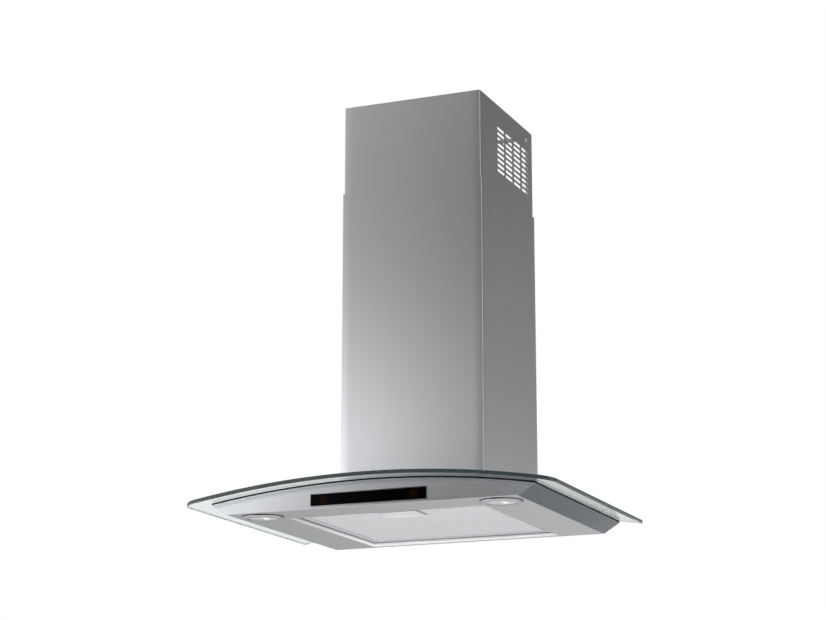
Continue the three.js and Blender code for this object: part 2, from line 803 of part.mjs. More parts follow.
// A ring of C-section folded from sheet, open inwards, with two tongues at the
// rear that hook over the lip of the opening.
function filterFrame() {
  const ring = cut(
    plainBox(filter, filter.bottom, filter.top),
    plainBox(inset(filter, FRAME_RAIL), filter.bottom - 1, filter.top + 1),
    plainBox(inset(filter, FRAME_SHEET), filter.bottom + FRAME_SHEET, filter.top - FRAME_SHEET),
  );
  const boltNotch = box(
    -BOLT_WIDTH / 2 - 1, BOLT_WIDTH / 2 + 1,
    filter.front - 1, filter.front + FRAME_RAIL + 1,
    tongueBottom - 2 * SEAT_GAP, filter.top + 1,
  );
  const tongueEnd = opening.rear + LIP_SHEET + TONGUE_REACH;
  const tongue = (x) => join(
    box(
      x - TONGUE_WIDTH / 2, x + TONGUE_WIDTH / 2,
      filter.rear - FRAME_RAIL / 2, tongueEnd,
      tongueBottom, filter.top,
    ),
    box(
      x - TONGUE_WIDTH / 2, x + TONGUE_WIDTH / 2,
      tongueEnd - TONGUE_SHEET, tongueEnd,
      tongueBottom - 2, filter.top,
    ),
  );
  return join(
    cut(ring, boltNotch),
    tongue(-TONGUE_SPACING / 2),
    tongue(TONGUE_SPACING / 2),
  );
}

// The room for the latch's guide, which the sheets inside the frame leave free.
function guideBay() {
  return box(
    -GUIDE_WIDTH / 2 - SEAT_GAP, GUIDE_WIDTH / 2 + SEAT_GAP,
    filter.front, guideRear + SEAT_GAP,
    filter.bottom - 1, filter.top + 1,
  );
}

const faceBottom = filter.bottom + FRAME_SHEET + SEAT_GAP;
const faceTop = filter.top - FRAME_SHEET - SEAT_GAP;

function filterFace(bottom) {
  const edge = FRAME_SHEET + 2 * SEAT_GAP;
  return cut(plainBox(inset(filter, edge), bottom, bottom + FACE_SHEET), guideBay());
}

// The core is one sheet folded to and fro, between the two faces.
function filterCore() {
  const low = faceBottom + FACE_SHEET + SEAT_GAP + CORE_SHEET;
  const high = faceTop - FACE_SHEET - SEAT_GAP - CORE_SHEET;
  const inside = inset(filter, FRAME_SHEET + 2);
  const folds = 2 * Math.floor((inside.right - inside.left) / CORE_PITCH);
  const points = [];
  for (let i = 0; i <= folds; i += 1) {
    points.push([(i - folds / 2) * CORE_PITCH / 2, i % 2 === 0 ? low : high]);
  }
  return cut(
    alongY(bentStrip(points, CORE_SHEET), inside.front, inside.rear),
    guideBay(),
  );
}

function latchGuide() {
  const halfWidth = GUIDE_WIDTH / 2;
  const floor = filter.bottom + FRAME_SHEET;
  const slotGap = 0.6;
  return cut(
    box(-halfWidth, halfWidth, guideFront, guideRear, filter.bottom, guideTop),
    box(
      -halfWidth + FRAME_SHEET, halfWidth - FRAME_SHEET,
      guideFront + FRAME_SHEET, guideRear - FRAME_SHEET,
      floor, guideTop + 1,
    ),
    box(
      -NECK_WIDTH / 2 - slotGap, NECK_WIDTH / 2 + slotGap,
      neckFront - slotGap, neckRear + LATCH_TRAVEL + slotGap,
      filter.bottom - 1, floor + 1,
    ),
  );
}

// Handle plate under the filter, a neck through the guide, and the bolt on top
// that rests on the front lip of the opening.
function filterLatch() {
  const handleTop = filter.bottom - SEAT_GAP;
  const halfHandle = HANDLE_WIDTH / 2;
  const handle = alongZ(
    roundedRectangle({
      left: -halfHandle,
      right: halfHandle,
      front: handleFront,
      rear: handleFront + HANDLE_DEPTH,
    }, 2),
    handleTop - HANDLE_SHEET,
    handleTop,
    1,
  );
  const neck = box(
    -NECK_WIDTH / 2, NECK_WIDTH / 2,
    neckFront, neckRear,
    handleTop - HANDLE_SHEET / 2, filter.top,
  );
  const bolt = box(
    -BOLT_WIDTH / 2, BOLT_WIDTH / 2,
    opening.front - BOLT_REACH, neckRear,
    tongueBottom, filter.top,
  );
  return join(handle, neck, bolt);
}

// The wire runs as one unbroken helix from the neck to the guide's rear wall.
function latchSpring() {
  const start = neckRear + SEAT_GAP + SPRING_WIRE / 2;
  const end = guideRear - FRAME_SHEET - SEAT_GAP - SPRING_WIRE / 2;
  const centreZ = (filter.bottom + FRAME_SHEET + guideTop) / 2;
  const stepsPerTurn = 8;
  const points = [];
  for (let i = 0; i <= SPRING_TURNS * stepsPerTurn; i += 1) {
    const share = i / (SPRING_TURNS * stepsPerTurn);
    const angle = 2 * Math.PI * SPRING_TURNS * share;
    points.push(new THREE.Vector3(
      SPRING_RADIUS * Math.cos(angle),
      start + (end - start) * share,
      centreZ + SPRING_RADIUS * Math.sin(angle),
    ));
  }
  const wire = new THREE.Shape();
  wire.absarc(0, 0, SPRING_WIRE / 2, 0, 2 * Math.PI);
  return solid(new THREE.ExtrudeGeometry(wire, {
    extrudePath: new THREE.CatmullRomCurve3(points),
    steps: SPRING_TURNS * stepsPerTurn,
    curveSegments: 3,
    bevelEnabled: false,
  }));
}

place('filter_frame', filterFrame(), FINISHES.aluminium);
place('filter_face_lower', filterFace(faceBottom), FINISHES.aluminium);
place('filter_core', filterCore(), FINISHES.aluminium);
place('filter_face_upper', filterFace(faceTop - FACE_SHEET), FINISHES.aluminium);
place('latch_guide', latchGuide(), FINISHES.aluminium);
place('filter_latch', filterLatch(), FINISHES.aluminium);
place('latch_spring', latchSpring(), FINISHES.zinc);

// --------------------------------------------------------------- blower box

// Everything under the top of the glass, with the seat's gap: the box is trimmed
// by it, so that it stands on the bend.
function belowGlassTop() {
  return alongY(
    bentBand(glassTopRadius - TRIM_DEPTH, glassTopRadius + SEAT_GAP, GLASS_WIDTH / 2, 20),
    glassFront - 1,
    1,
  );
}

function blowerChassis() {
  const walls = cut(
    plainBox(chassis, 0, CHASSIS_TOP),
    plainBox(inset(chassis, CHASSIS_SHEET), -1, CHASSIS_TOP - CHASSIS_SHEET),
  );
  const seatRadius = glassTopRadius + SEAT_GAP;
  const flange = alongY(
    bentBand(seatRadius, seatRadius + CHASSIS_SHEET, CHASSIS_WIDTH / 2 - CHASSIS_SHEET / 2, 8),
    chassis.front + CHASSIS_SHEET / 2,
    chassis.rear - CHASSIS_SHEET / 2,
  );
  const outlet = box(
    -scrollHalfWidth + SCROLL_WALL, scrollHalfWidth - SCROLL_WALL,
    throat.front, throat.rear,
    CHASSIS_TOP - 5, CHASSIS_TOP + 5,
  );
  const hookSlot = box(
    -RAIL_HOOK_WIDTH / 2 - 2, RAIL_HOOK_WIDTH / 2 + 2,
    chassis.rear - CHASSIS_SHEET - 1, chassis.rear + 1,
    railHookZ - RAIL_HOOK_LIP - 3, railHookZ + SEAT_GAP,
  );
  return cut(
    join(cut(walls, belowGlassTop()), flange),
    airwayCutter(-1, aboveEverything),
    outlet,
    hookSlot,
    ...clampHoles(),
    ...collarScrewHoles(CHASSIS_TOP - 5, CHASSIS_TOP + 5),
  );
}

const clampSeat = glassTopRadius + 2 * SEAT_GAP + CHASSIS_SHEET;

function clampScrew([x, y]) {
  const tip = deckTopRadius - DECK_SHEET - CLAMP_NUT_HEIGHT - 1;
  const one = screw(CLAMP_SCREW_RADIUS, clampSeat - tip, 1.9 * CLAMP_SCREW_RADIUS);
  return moved(one, onBend(x, y, clampSeat));
}

// Rail: a plate on the wall whose top is folded forward and up into a hook.
function wallRail() {
  const back = -RAIL_SHEET / 2;
  const bottom = railHookZ - RAIL_HEIGHT;
  const shelf = railHookZ - RAIL_SHEET / 2;
  const lipY = chassis.rear - CHASSIS_SHEET - 2 * SEAT_GAP - RAIL_SHEET / 2;
  const plate = alongX(
    bentStrip([[back, bottom], [back, railHookZ - RAIL_SHEET]], RAIL_SHEET),
    -RAIL_WIDTH / 2,
    RAIL_WIDTH / 2,
  );
  const hook = alongX(
    bentStrip([
      [back, railHookZ - 3 * RAIL_SHEET],
      [back, shelf],
      [lipY, shelf],
      [lipY, railHookZ + RAIL_HOOK_LIP],
    ], RAIL_SHEET),
    -RAIL_HOOK_WIDTH / 2,
    RAIL_HOOK_WIDTH / 2,
  );
  const slotHalf = (RAIL_HOLE_LENGTH - RAIL_HOLE_WIDTH) / 2;
  const slot = (x) => alongY(
    roundedRectangle({
      left: x - slotHalf - RAIL_HOLE_WIDTH / 2,
      right: x + slotHalf + RAIL_HOLE_WIDTH / 2,
      front: bottom + RAIL_HEIGHT / 2 - RAIL_HOLE_WIDTH / 2,
      rear: bottom + RAIL_HEIGHT / 2 + RAIL_HOLE_WIDTH / 2,
    }, RAIL_HOLE_WIDTH / 2 - 0.01),
    -RAIL_SHEET - 1,
    1,
    2,
  );
  return cut(join(plate, hook), slot(-RAIL_HOLE_SPACING / 2), slot(RAIL_HOLE_SPACING / 2));
}

place('blower_chassis', blowerChassis(), FINISHES.galvanised);
clampCorners().forEach((spot, i) => {
  place(`clamp_screw_${CORNER_NAMES[i]}`, clampScrew(spot), FINISHES.zinc);
});
place('wall_rail', wallRail(), FINISHES.galvanised);

// -------------------------------------------------------------------- blower

// The three arms of the motor's bracket, as angles about the fan's axis.
const ARM_NAMES = ['rear', 'front_upper', 'front_lower'];
const ARM_ANGLES = [90, 210, 330].map(degrees);
const armScrewAt = inletRadius + INLET_FLARE + 5;
const armFoot = armScrewAt + 5;
const armSeat = scrollHalfWidth + INLET_HEIGHT + SEAT_GAP;

function armSpot(angle) {
  return [armScrewAt * Math.cos(angle), armScrewAt * Math.sin(angle)];
}

// The scroll from the side: a spiral that widens from the tongue, round the front,
// the bottom and the rear, into a throat with upright walls.
function scrollOutline(wall) {
  const front = THROAT_FRONT - wall;
  const start = Math.acos(front / (SCROLL_START_RADIUS + wall));
  const end = 2 * Math.PI;
  const steps = 18;
  const top = scrollTop - FAN_AXIS_Z;
  const points = [[front, top]];
  for (let i = 0; i <= steps; i += 1) {
    const angle = start + ((end - start) * i) / steps;
    const growth = (SCROLL_END_RADIUS - SCROLL_START_RADIUS) * (i / steps);
    const radius = SCROLL_START_RADIUS + growth + wall;
    points.push([radius * Math.cos(angle), radius * Math.sin(angle)]);
  }
  points.push([SCROLL_END_RADIUS + wall, top]);
  return outline(points.map(([y, z]) => [y + FAN_AXIS_Y, z + FAN_AXIS_Z]));
}

function collarScrewSpots() {
  const middle = (throat.front + throat.rear) / 2;
  const across = scrollHalfWidth + SCROLL_FLANGE / 2;
  const along = (throat.rear - throat.front) / 2 - 6;
  return [
    [-across, middle - along],
    [across, middle - along],
    [-across, middle + along],
    [across, middle + along],
  ];
}

function collarScrewHoles(bottom, top) {
  const hole = cylinder(CLAMP_SCREW_RADIUS + THREAD_GAP, bottom, top, 8);
  return collarScrewSpots().map(([x, y]) => shifted(hole, x, y));
}

const atFanAxis = laidAlongX(0, FAN_AXIS_Y, FAN_AXIS_Z);

// The inlet's rim flares like a trumpet. Made for the right side, about Z.
function inletRim() {
  const foot = scrollHalfWidth - SCROLL_WALL - 1.5;
  const top = scrollHalfWidth + INLET_HEIGHT;
  return turned([
    [inletRadius, foot],
    [inletRadius + SCROLL_WALL, foot],
    [inletRadius + SCROLL_WALL, top - 4],
    [inletRadius + INLET_FLARE, top - 2],
    [inletRadius + INLET_FLARE, top],
    [inletRadius, top - 3.2],
    [inletRadius, foot],
  ], 20);
}

// The right half of the scroll, closed at its outer side but for the inlet.
function scrollRightHalf() {
  const inner = scrollHalfWidth - SCROLL_WALL;
  const shell = cut(
    alongX(scrollOutline(SCROLL_WALL), SEAT_GAP / 2, scrollHalfWidth),
    alongX(scrollOutline(0), -1, inner),
    box(-1, inner, throat.front, throat.rear, scrollTop - 20, scrollTop + 1),
    moved(cylinder(inletRadius + SCROLL_WALL / 2, 0, 2 * scrollHalfWidth, 20), atFanAxis),
  );
  const flange = box(
    inner, scrollHalfWidth + SCROLL_FLANGE,
    throat.front, throat.rear,
    scrollTop - 2 * SCROLL_WALL, scrollTop,
  );
  return cut(
    join(shell, moved(inletRim(), atFanAxis), flange),
    ...collarScrewHoles(scrollTop - 10, scrollTop + 1),
  );
}

// The motor hangs from three bosses on the right half. The left half has none.
function scrollRight() {
  const boss = cut(
    cylinder(4.5, scrollHalfWidth - 1, scrollHalfWidth + INLET_HEIGHT, 10),
    cylinder(ARM_SCREW_RADIUS + THREAD_GAP, scrollHalfWidth, armSeat, 8),
  );
  const placed = ARM_ANGLES.map((angle) => moved(shifted(boss, ...armSpot(angle)), atFanAxis));
  return join(scrollRightHalf(), ...placed);
}

const scrollLeft = () => moved(scrollRightHalf(), new THREE.Matrix4().makeScale(-1, 1, 1));

// One forward-curved blade, edge on, between the inlet radius and the fan's rim.
function bladeOutline(turn) {
  const sweep = degrees(14);
  const bow = 2.8;
  const steps = 2;
  const root = new THREE.Vector2(FAN_RADIUS - BLADE_CHORD + 1, 0);
  const tip = new THREE.Vector2(FAN_RADIUS - 0.6, 0).rotateAround(new THREE.Vector2(), sweep);
  const chord = tip.clone().sub(root);
  const across = new THREE.Vector2(-chord.y, chord.x).normalize();
  const centre = new THREE.Vector2();
  const points = [];
  for (let i = 0; i <= steps; i += 1) {
    const share = i / steps;
    const point = root.clone().addScaledVector(chord, share);
    point.addScaledVector(across, -bow * 4 * share * (1 - share));
    point.rotateAround(centre, turn);
    points.push([point.x, point.y]);
  }
  return bentStrip(points, BLADE_SHEET);
}

// Double-inlet wheel: blades through a middle disc, a ring at each end, and a hub.
// It is made about Z and then laid along X.
function impeller() {
  const half = FAN_WIDTH / 2;
  const ring = (z0, z1) => tube(FAN_RADIUS - 2.4, FAN_RADIUS, z0, z1, 28);
  const wheel = join(
    cylinder(FAN_RADIUS - 0.7 * BLADE_CHORD, -FAN_DISC / 2, FAN_DISC / 2, 24),
    ring(-half, -half + FAN_RING),
    ring(half - FAN_RING, half),
    cylinder(HUB_RADIUS, -HUB_LENGTH, FAN_DISC, 16),
    ...Array.from({ length: FAN_BLADES }, (_, i) =>
      alongZ(bladeOutline((2 * Math.PI * i) / FAN_BLADES), -half + 1, half - 1)),
  );
  const bore = cylinder(SHAFT_RADIUS + 0.1, -half, half, 12);
  return moved(cut(wheel, bore), atFanAxis);
}

const motorEnd = MOTOR_START + MOTOR_LENGTH;

function motorShaft() {
  const shaft = cylinder(SHAFT_RADIUS, -HUB_LENGTH - 3, MOTOR_START + 8, 12);
  return moved(shaft, atFanAxis);
}

// The motor's two end caps are stepped, and its front cap has the shaft's bearing.
function blowerMotor() {
  const step = 5;
  const body = turned([
    [SHAFT_RADIUS + 0.3, MOTOR_START - 5],
    [11, MOTOR_START - 5],
    [13, MOTOR_START],
    [0.75 * MOTOR_RADIUS, MOTOR_START],
    [MOTOR_RADIUS - 2, MOTOR_START + step],
    [MOTOR_RADIUS, MOTOR_START + step],
    [MOTOR_RADIUS, motorEnd - step],
    [MOTOR_RADIUS - 2, motorEnd - step],
    [0.75 * MOTOR_RADIUS, motorEnd],
    [0, motorEnd],
    [0, MOTOR_START + 8 + SEAT_GAP],
    [SHAFT_RADIUS + 0.3, MOTOR_START + 8 + SEAT_GAP],
    [SHAFT_RADIUS + 0.3, MOTOR_START - 5],
  ], 16);
  return moved(body, atFanAxis);
}


// A round plate on the motor's end, with three cranked arms out to the scroll's
// inlet ring. The plate lies against the motor.
function motorBracket() {
  const plateX = motorEnd + SEAT_GAP;
  const plate = cylinder(0.7 * MOTOR_RADIUS, plateX, plateX + BRACKET_ARM_SHEET, 18);
  const arm = (angle) => {
    const strip = bentStrip([
      [0.5 * MOTOR_RADIUS, plateX + BRACKET_ARM_SHEET / 2],
      [MOTOR_RADIUS, plateX + BRACKET_ARM_SHEET / 2],
      [MOTOR_RADIUS + 5, armSeat + BRACKET_ARM_SHEET / 2],
      [armFoot, armSeat + BRACKET_ARM_SHEET / 2],
    ], BRACKET_ARM_SHEET);
    const flat = alongY(strip, -BRACKET_ARM_WIDTH / 2, BRACKET_ARM_WIDTH / 2);
    return moved(flat, new THREE.Matrix4().makeRotationZ(angle));
  };
  const hole = cylinder(ARM_SCREW_RADIUS + 0.2, armSeat - 1, armSeat + 5, 12);
  const holes = ARM_ANGLES.map((angle) => shifted(hole, ...armSpot(angle)));
  const whole = cut(join(plate, ...ARM_ANGLES.map(arm)), ...holes);
  return moved(whole, atFanAxis);
}

function bracketScrew(angle) {
  const seat = armSeat + BRACKET_ARM_SHEET + SEAT_GAP;
  const one = screw(ARM_SCREW_RADIUS, seat - scrollHalfWidth - 1, 3.2);
  return moved(shifted(one, ...armSpot(angle), seat), atFanAxis);
}

place('scroll_left', scrollLeft(), FINISHES.darkPlastic);
place('scroll_right', scrollRight(), FINISHES.darkPlastic);
place('impeller', impeller(), FINISHES.greyPlastic);
place('motor_shaft', motorShaft(), FINISHES.zinc);
place('blower_motor', blowerMotor(), FINISHES.zinc);
place('motor_bracket', motorBracket(), FINISHES.galvanised);
ARM_NAMES.forEach((name, i) => {
  place(`bracket_screw_${name}`, bracketScrew(ARM_ANGLES[i]), FINISHES.zinc);
});

// --------------------------------------------------------- collar and flaps

const collarRing = 32;

// A ring of points on a rounded rectangle that the power turns towards an ellipse:
// |x/a|^n + |y/b|^n = 1.
function superRing(a, b, power, y, z) {
  return Array.from({ length: collarRing }, (_, i) => {
    const angle = (2 * Math.PI * i) / collarRing;
    const [c, s] = [Math.cos(angle), Math.sin(angle)];
    const reach = (Math.abs(c / a) ** power + Math.abs(s / b) ** power) ** (-1 / power);
    return [reach * c, y + reach * s, z];
  });
}

// A closed skin through a loop of rings: each is joined to the next, and the last
// to the first.
function skinned(rings) {
  const positions = rings.flat(2);
  const index = [];
  rings.forEach((_, k) => {
    const here = k * collarRing;
    const there = ((k + 1) % rings.length) * collarRing;
    for (let i = 0; i < collarRing; i += 1) {
      const j = (i + 1) % collarRing;
      index.push(here + i, here + j, there + j, here + i, there + j, there + i);
    }
  });
  const geometry = new THREE.BufferGeometry();
  geometry.setAttribute('position', new THREE.Float32BufferAttribute(positions, 3));
  geometry.setIndex(index);
  return solid(geometry);
}

function outletCollar() {
  const halfX = scrollHalfWidth - SCROLL_WALL;
  const halfY = (throat.rear - throat.front) / 2;
  const throatY = (throat.rear + throat.front) / 2;
  const flangeX = scrollHalfWidth + SCROLL_FLANGE;
  const square = 10;
  const neck = (t, grow, z) => superRing(
    THREE.MathUtils.lerp(halfX + grow, spigotBore + grow, t),
    THREE.MathUtils.lerp(halfY + grow, spigotBore + grow, t),
    THREE.MathUtils.lerp(square, 2, Math.min(1.5 * t, 1)),
    THREE.MathUtils.lerp(throatY, COLLAR_AXIS_Y, t),
    z,
  );
  const flangeTop = collarBase + COLLAR_FLANGE;
  const ledgeTop = flapAxisZ - FLAP_SHEET / 2 - SEAT_GAP;
  const levels = [0, 0.5, 1];
  const height = (t) => THREE.MathUtils.lerp(collarBase, spigotBase, t);
  const outer = levels.slice(1).map((t) => neck(t, COLLAR_WALL, height(t)));
  const inner = levels.slice().reverse().map((t) => neck(t, 0, height(t)));
  const top = spigotBase + COLLAR_SPIGOT;
  const body = skinned([
    superRing(flangeX, halfY + 8, square, throatY, collarBase),
    superRing(flangeX, halfY + 8, square, throatY, flangeTop),
    superRing(halfX + COLLAR_WALL, halfY + COLLAR_WALL, square, throatY, flangeTop),
    ...outer,
    superRing(COLLAR_RADIUS, COLLAR_RADIUS, 2, COLLAR_AXIS_Y, top - 2),
    superRing(COLLAR_RADIUS - 1, COLLAR_RADIUS - 1, 2, COLLAR_AXIS_Y, top),
    superRing(spigotBore, spigotBore, 2, COLLAR_AXIS_Y, top),
    superRing(spigotBore, spigotBore, 2, COLLAR_AXIS_Y, ledgeTop),
    superRing(spigotBore - COLLAR_LEDGE, spigotBore - COLLAR_LEDGE, 2, COLLAR_AXIS_Y, ledgeTop),
    ...inner,
  ]);
  // A boss for each end of the flaps' axle.
  const bossRadius = knuckleRadius + 0.2;
  const boss = moved(
    join(
      cylinder(bossRadius, -spigotBore - 1, -spigotBore + 6, 10),
      cylinder(bossRadius, spigotBore - 6, spigotBore + 1, 10),
    ),
    laidAlongX(0, COLLAR_AXIS_Y, flapAxisZ),
  );
  const axleBore = moved(
    cylinder(FLAP_AXLE_RADIUS + 0.1, -axleHalf() - SEAT_GAP, axleHalf() + SEAT_GAP, 10),
    laidAlongX(0, COLLAR_AXIS_Y, flapAxisZ),
  );
  return cut(
    join(body, boss),
    axleBore,
    ...collarScrewHoles(collarBase - 1, flangeTop + 0.5),
  );
}

const axleHalf = () => spigotBore - 2;

function flapAxle() {
  const axle = cylinder(FLAP_AXLE_RADIUS, -axleHalf(), axleHalf(), 12);
  return moved(axle, laidAlongX(0, COLLAR_AXIS_Y, flapAxisZ));
}

// A half disc with knuckles round the axle. The two flaps share the axle, so one
// has the odd knuckles and the other the even ones.
function flap(side, parity) {
  const radius = spigotBore - FLAP_EDGE_GAP;
  const straight = knuckleRadius + 0.6;
  const start = Math.asin(straight / radius);
  const shape = new THREE.Shape();
  const [from, to] = side > 0 ? [start, Math.PI - start] : [Math.PI + start, 2 * Math.PI - start];
  shape.absarc(0, 0, radius, from, to);
  const leaf = alongZ(shape, -FLAP_SHEET / 2, FLAP_SHEET / 2, 14);
  const reach = spigotBore - 8;
  const pitch = (2 * reach) / KNUCKLES;
  const near = side > 0 ? [0, straight + 2] : [-straight - 2, 0];
  const own = Array.from({ length: KNUCKLES }, (_, i) => i).filter((i) => i % 2 === parity);
  const knuckles = own.map((i) => {
    const x0 = -reach + i * pitch + SEAT_GAP;
    const x1 = -reach + (i + 1) * pitch - SEAT_GAP;
    const barrel = moved(cylinder(knuckleRadius, x0, x1, 8), laidAlongX(0, 0, 0));
    return join(barrel, box(x0, x1, near[0], near[1], -FLAP_SHEET / 2, FLAP_SHEET / 2));
  });
  const bore = moved(
    cylinder(FLAP_AXLE_RADIUS + KNUCKLE_GAP, -reach - 1, reach + 1, 8),
    laidAlongX(0, 0, 0),
  );
  return shifted(cut(join(leaf, ...knuckles), bore), 0, COLLAR_AXIS_Y, flapAxisZ);
}

function collarScrew([x, y]) {
  const seat = collarBase + COLLAR_FLANGE + SEAT_GAP;
  const tip = scrollTop - 2 * SCROLL_WALL + 1;
  return shifted(screw(CLAMP_SCREW_RADIUS, seat - tip, 1.8 * CLAMP_SCREW_RADIUS), x, y, seat);
}

place('outlet_collar', outletCollar(), FINISHES.darkPlastic);
place('flap_axle', flapAxle(), FINISHES.zinc);
place('flap_front', flap(-1, 0), FINISHES.greyPlastic);
place('flap_rear', flap(1, 1), FINISHES.greyPlastic);
collarScrewSpots().forEach((spot, i) => {
  place(`collar_screw_${CORNER_NAMES[i]}`, collarScrew(spot), FINISHES.zinc);
});

// ----------------------------------------------------------------- electrics

const electronicsBase = CHASSIS_TOP + SEAT_GAP;
const electronicsTop = electronicsBase + ELECTRONICS_HEIGHT;
const electronics = {
  left: chassis.left + ELECTRONICS_SIDE_ROOM,
  right: chassis.left + ELECTRONICS_SIDE_ROOM + ELECTRONICS_WIDTH,
  front: chassis.front + ELECTRONICS_FRONT_ROOM,
  rear: COLLAR_AXIS_Y - COLLAR_RADIUS - ELECTRONICS_COLLAR_ROOM,
};
const electronicsY = (electronics.front + electronics.rear) / 2;
const capacitorX = chassis.right - CAPACITOR_SIDE_ROOM;
const capacitorLength = electronics.rear - electronics.front - CAPACITOR_END_ROOM;

function electronicsBox() {
  return cut(
    alongZ(roundedRectangle(electronics, 4), electronicsBase, electronicsTop, 2),
    alongZ(
      roundedRectangle(inset(electronics, ELECTRONICS_WALL), 2),
      electronicsBase + ELECTRONICS_WALL,
      electronicsTop + 1,
      1,
    ),
  );
}

const lidTop = electronicsTop + SEAT_GAP + LID_SHEET;
const glandAt = [electronics.left + GLAND_SIDE_ROOM, electronicsY];

function electronicsLid() {
  const plate = alongZ(roundedRectangle(electronics, 4), electronicsTop + SEAT_GAP, lidTop, 2);
  return cut(plate, shifted(cylinder(6.4, electronicsTop - 1, lidTop + 1, 14), ...glandAt));
}

// Cable gland: a threaded foot in the lid, a hexagon and a domed nut, bored through.
function cableGland() {
  const base = lidTop + SEAT_GAP;
  const profile = turned([
    [3.5, base - 8],
    [6, base - 8],
    [6, base],
    [9, base],
    [9, base + 5],
    [8, base + 5.5],
    [8, base + 13],
    [5.5, base + 17],
    [3.5, base + 17],
    [3.5, base - 8],
  ], 14);
  return shifted(profile, ...glandAt);
}

const capacitorZ = electronicsBase + CAPACITOR_RADIUS + CAPACITOR_CLIP_SHEET;

function capacitorAt() {
  const turn = new THREE.Matrix4().makeRotationX(Math.PI / 2);
  return turn.setPosition(capacitorX, electronicsY, capacitorZ);
}

function motorCapacitor() {
  const half = capacitorLength / 2;
  const can = turned([
    [0, -half],
    [CAPACITOR_RADIUS - 1, -half],
    [CAPACITOR_RADIUS, -half + 1],
    [CAPACITOR_RADIUS, half - 1],
    [CAPACITOR_RADIUS - 1, half],
    [4, half],
    [4, half + 5],
    [0, half + 5],
  ], 18);
  return moved(can, capacitorAt());
}

// The clip is a band round the can with a foot on the box.
function capacitorClip() {
  const bore = CAPACITOR_RADIUS + SEAT_GAP;
  const outer = bore + CAPACITOR_CLIP_SHEET;
  const half = CAPACITOR_CLIP_WIDTH / 2;
  const band = moved(tube(bore, outer, -half, half, 18), capacitorAt());
  const foot = box(
    capacitorX - 5, capacitorX + outer + 11,
    electronicsY - half, electronicsY + half,
    electronicsBase, electronicsBase + CAPACITOR_CLIP_SHEET,
  );
  const can = moved(cylinder(bore, -2 * half, 2 * half, 18), capacitorAt());
  return join(band, cut(foot, can));
}

place('electronics_box', electronicsBox(), FINISHES.darkPlastic);
place('electronics_lid', electronicsLid(), FINISHES.darkPlastic);
place('cable_gland', cableGland(), FINISHES.darkPlastic);
place('motor_capacitor', motorCapacitor(), FINISHES.greyPlastic);
place('capacitor_clip', capacitorClip(), FINISHES.zinc);

// ------------------------------------------------------------------- chimney

// A cover folded from one sheet, seen from above: a front, two sides, and a
// narrow fold along the wall at the end of each side.
function coverOutline(halfWidth, front, rear) {
  const half = CHIMNEY_SHEET / 2;
  const x = halfWidth - half;
  const end = x + half - CHIMNEY_RETURN;
  return bentStrip([
    [-end, rear - half],
    [-x, rear - half],
    [-x, front + half],
    [x, front + half],
    [x, rear - half],
    [end, rear - half],
  ], CHIMNEY_SHEET);
}

function lowerChimney() {
  const sleeve = alongZ(coverOutline(lowerWidth / 2, -lowerDepth, 0), 0, LOWER_TOP);
  return cut(sleeve, belowGlassTop());
}

function ventSlots() {
  const slots = [];
  for (let column = 0; column < VENT_COLUMNS; column += 1) {
    for (let row = 0; row < VENT_ROWS; row += 1) {
      const y = -VENT_FROM_WALL - column * VENT_COLUMN_PITCH;
      const z = upperTop - VENT_FROM_TOP - row * VENT_ROW_PITCH;
      slots.push(box(
        -lowerWidth, lowerWidth,
        y - VENT_LENGTH / 2, y + VENT_LENGTH / 2,
        z - VENT_HEIGHT / 2, z + VENT_HEIGHT / 2,
      ));
    }
  }
  return slots;
}

const bracketTop = upperTop - BRACKET_BELOW_TOP;
const bracketMiddle = bracketTop - BRACKET_HEIGHT / 2;

function sideScrewHoles() {
  const hole = cylinder(SIDE_SCREW_RADIUS + THREAD_GAP, -lowerWidth, lowerWidth, 8);
  return moved(hole, laidAlongX(0, -SIDE_SCREW_FROM_WALL, bracketMiddle));
}

function upperChimney() {
  const sleeve = alongZ(coverOutline(upperHalfWidth, upperFront, upperRear), upperBottom, upperTop);
  return cut(sleeve, ...ventSlots(), sideScrewHoles());
}

// The bracket's plate lies on the wall. Slim arms at its top step forward past
// the cover's folds and end in ears along the cover's sides.
function chimneyBracket() {
  const half = BRACKET_SHEET / 2;
  const bottom = bracketTop - BRACKET_HEIGHT;
  const earX = upperHalfWidth - CHIMNEY_SHEET - SEAT_GAP - half;
  const armX = upperHalfWidth - CHIMNEY_RETURN - BRACKET_STEP;
  const stepY = upperRear - CHIMNEY_SHEET - SEAT_GAP - half;
  const side = (sign) => [
    [sign * armX, -half],
    [sign * (armX + 2), stepY],
    [sign * earX, stepY],
    [sign * earX, -BRACKET_EAR],
  ];
  const strip = bentStrip([...side(-1).reverse(), ...side(1)], BRACKET_SHEET);
  const sheet = alongZ(strip, bottom, bracketTop);
  const underArm = (x0, x1) => box(
    x0, x1,
    stepY - BRACKET_SHEET, 1,
    bottom - 1, bracketTop - BRACKET_ARM_HEIGHT,
  );
  const plateEdge = BRACKET_PLATE_WIDTH / 2;
  const earEdge = earX - 2 * BRACKET_SHEET;
  const wallHole = (x) => alongY(
    roundedRectangle({
      left: x - BRACKET_HOLE_LENGTH / 2,
      right: x + BRACKET_HOLE_LENGTH / 2,
      front: bracketMiddle - BRACKET_HOLE_WIDTH / 2,
      rear: bracketMiddle + BRACKET_HOLE_WIDTH / 2,
    }, BRACKET_HOLE_WIDTH / 2 - 0.1),
    -BRACKET_SHEET - 1,
    1,
    2,
  );
  return cut(
    sheet,
    underArm(plateEdge, earEdge),
    underArm(-earEdge, -plateEdge),
    wallHole(-BRACKET_HOLE_SPACING / 2),
    wallHole(BRACKET_HOLE_SPACING / 2),
    sideScrewHoles(),
  );
}

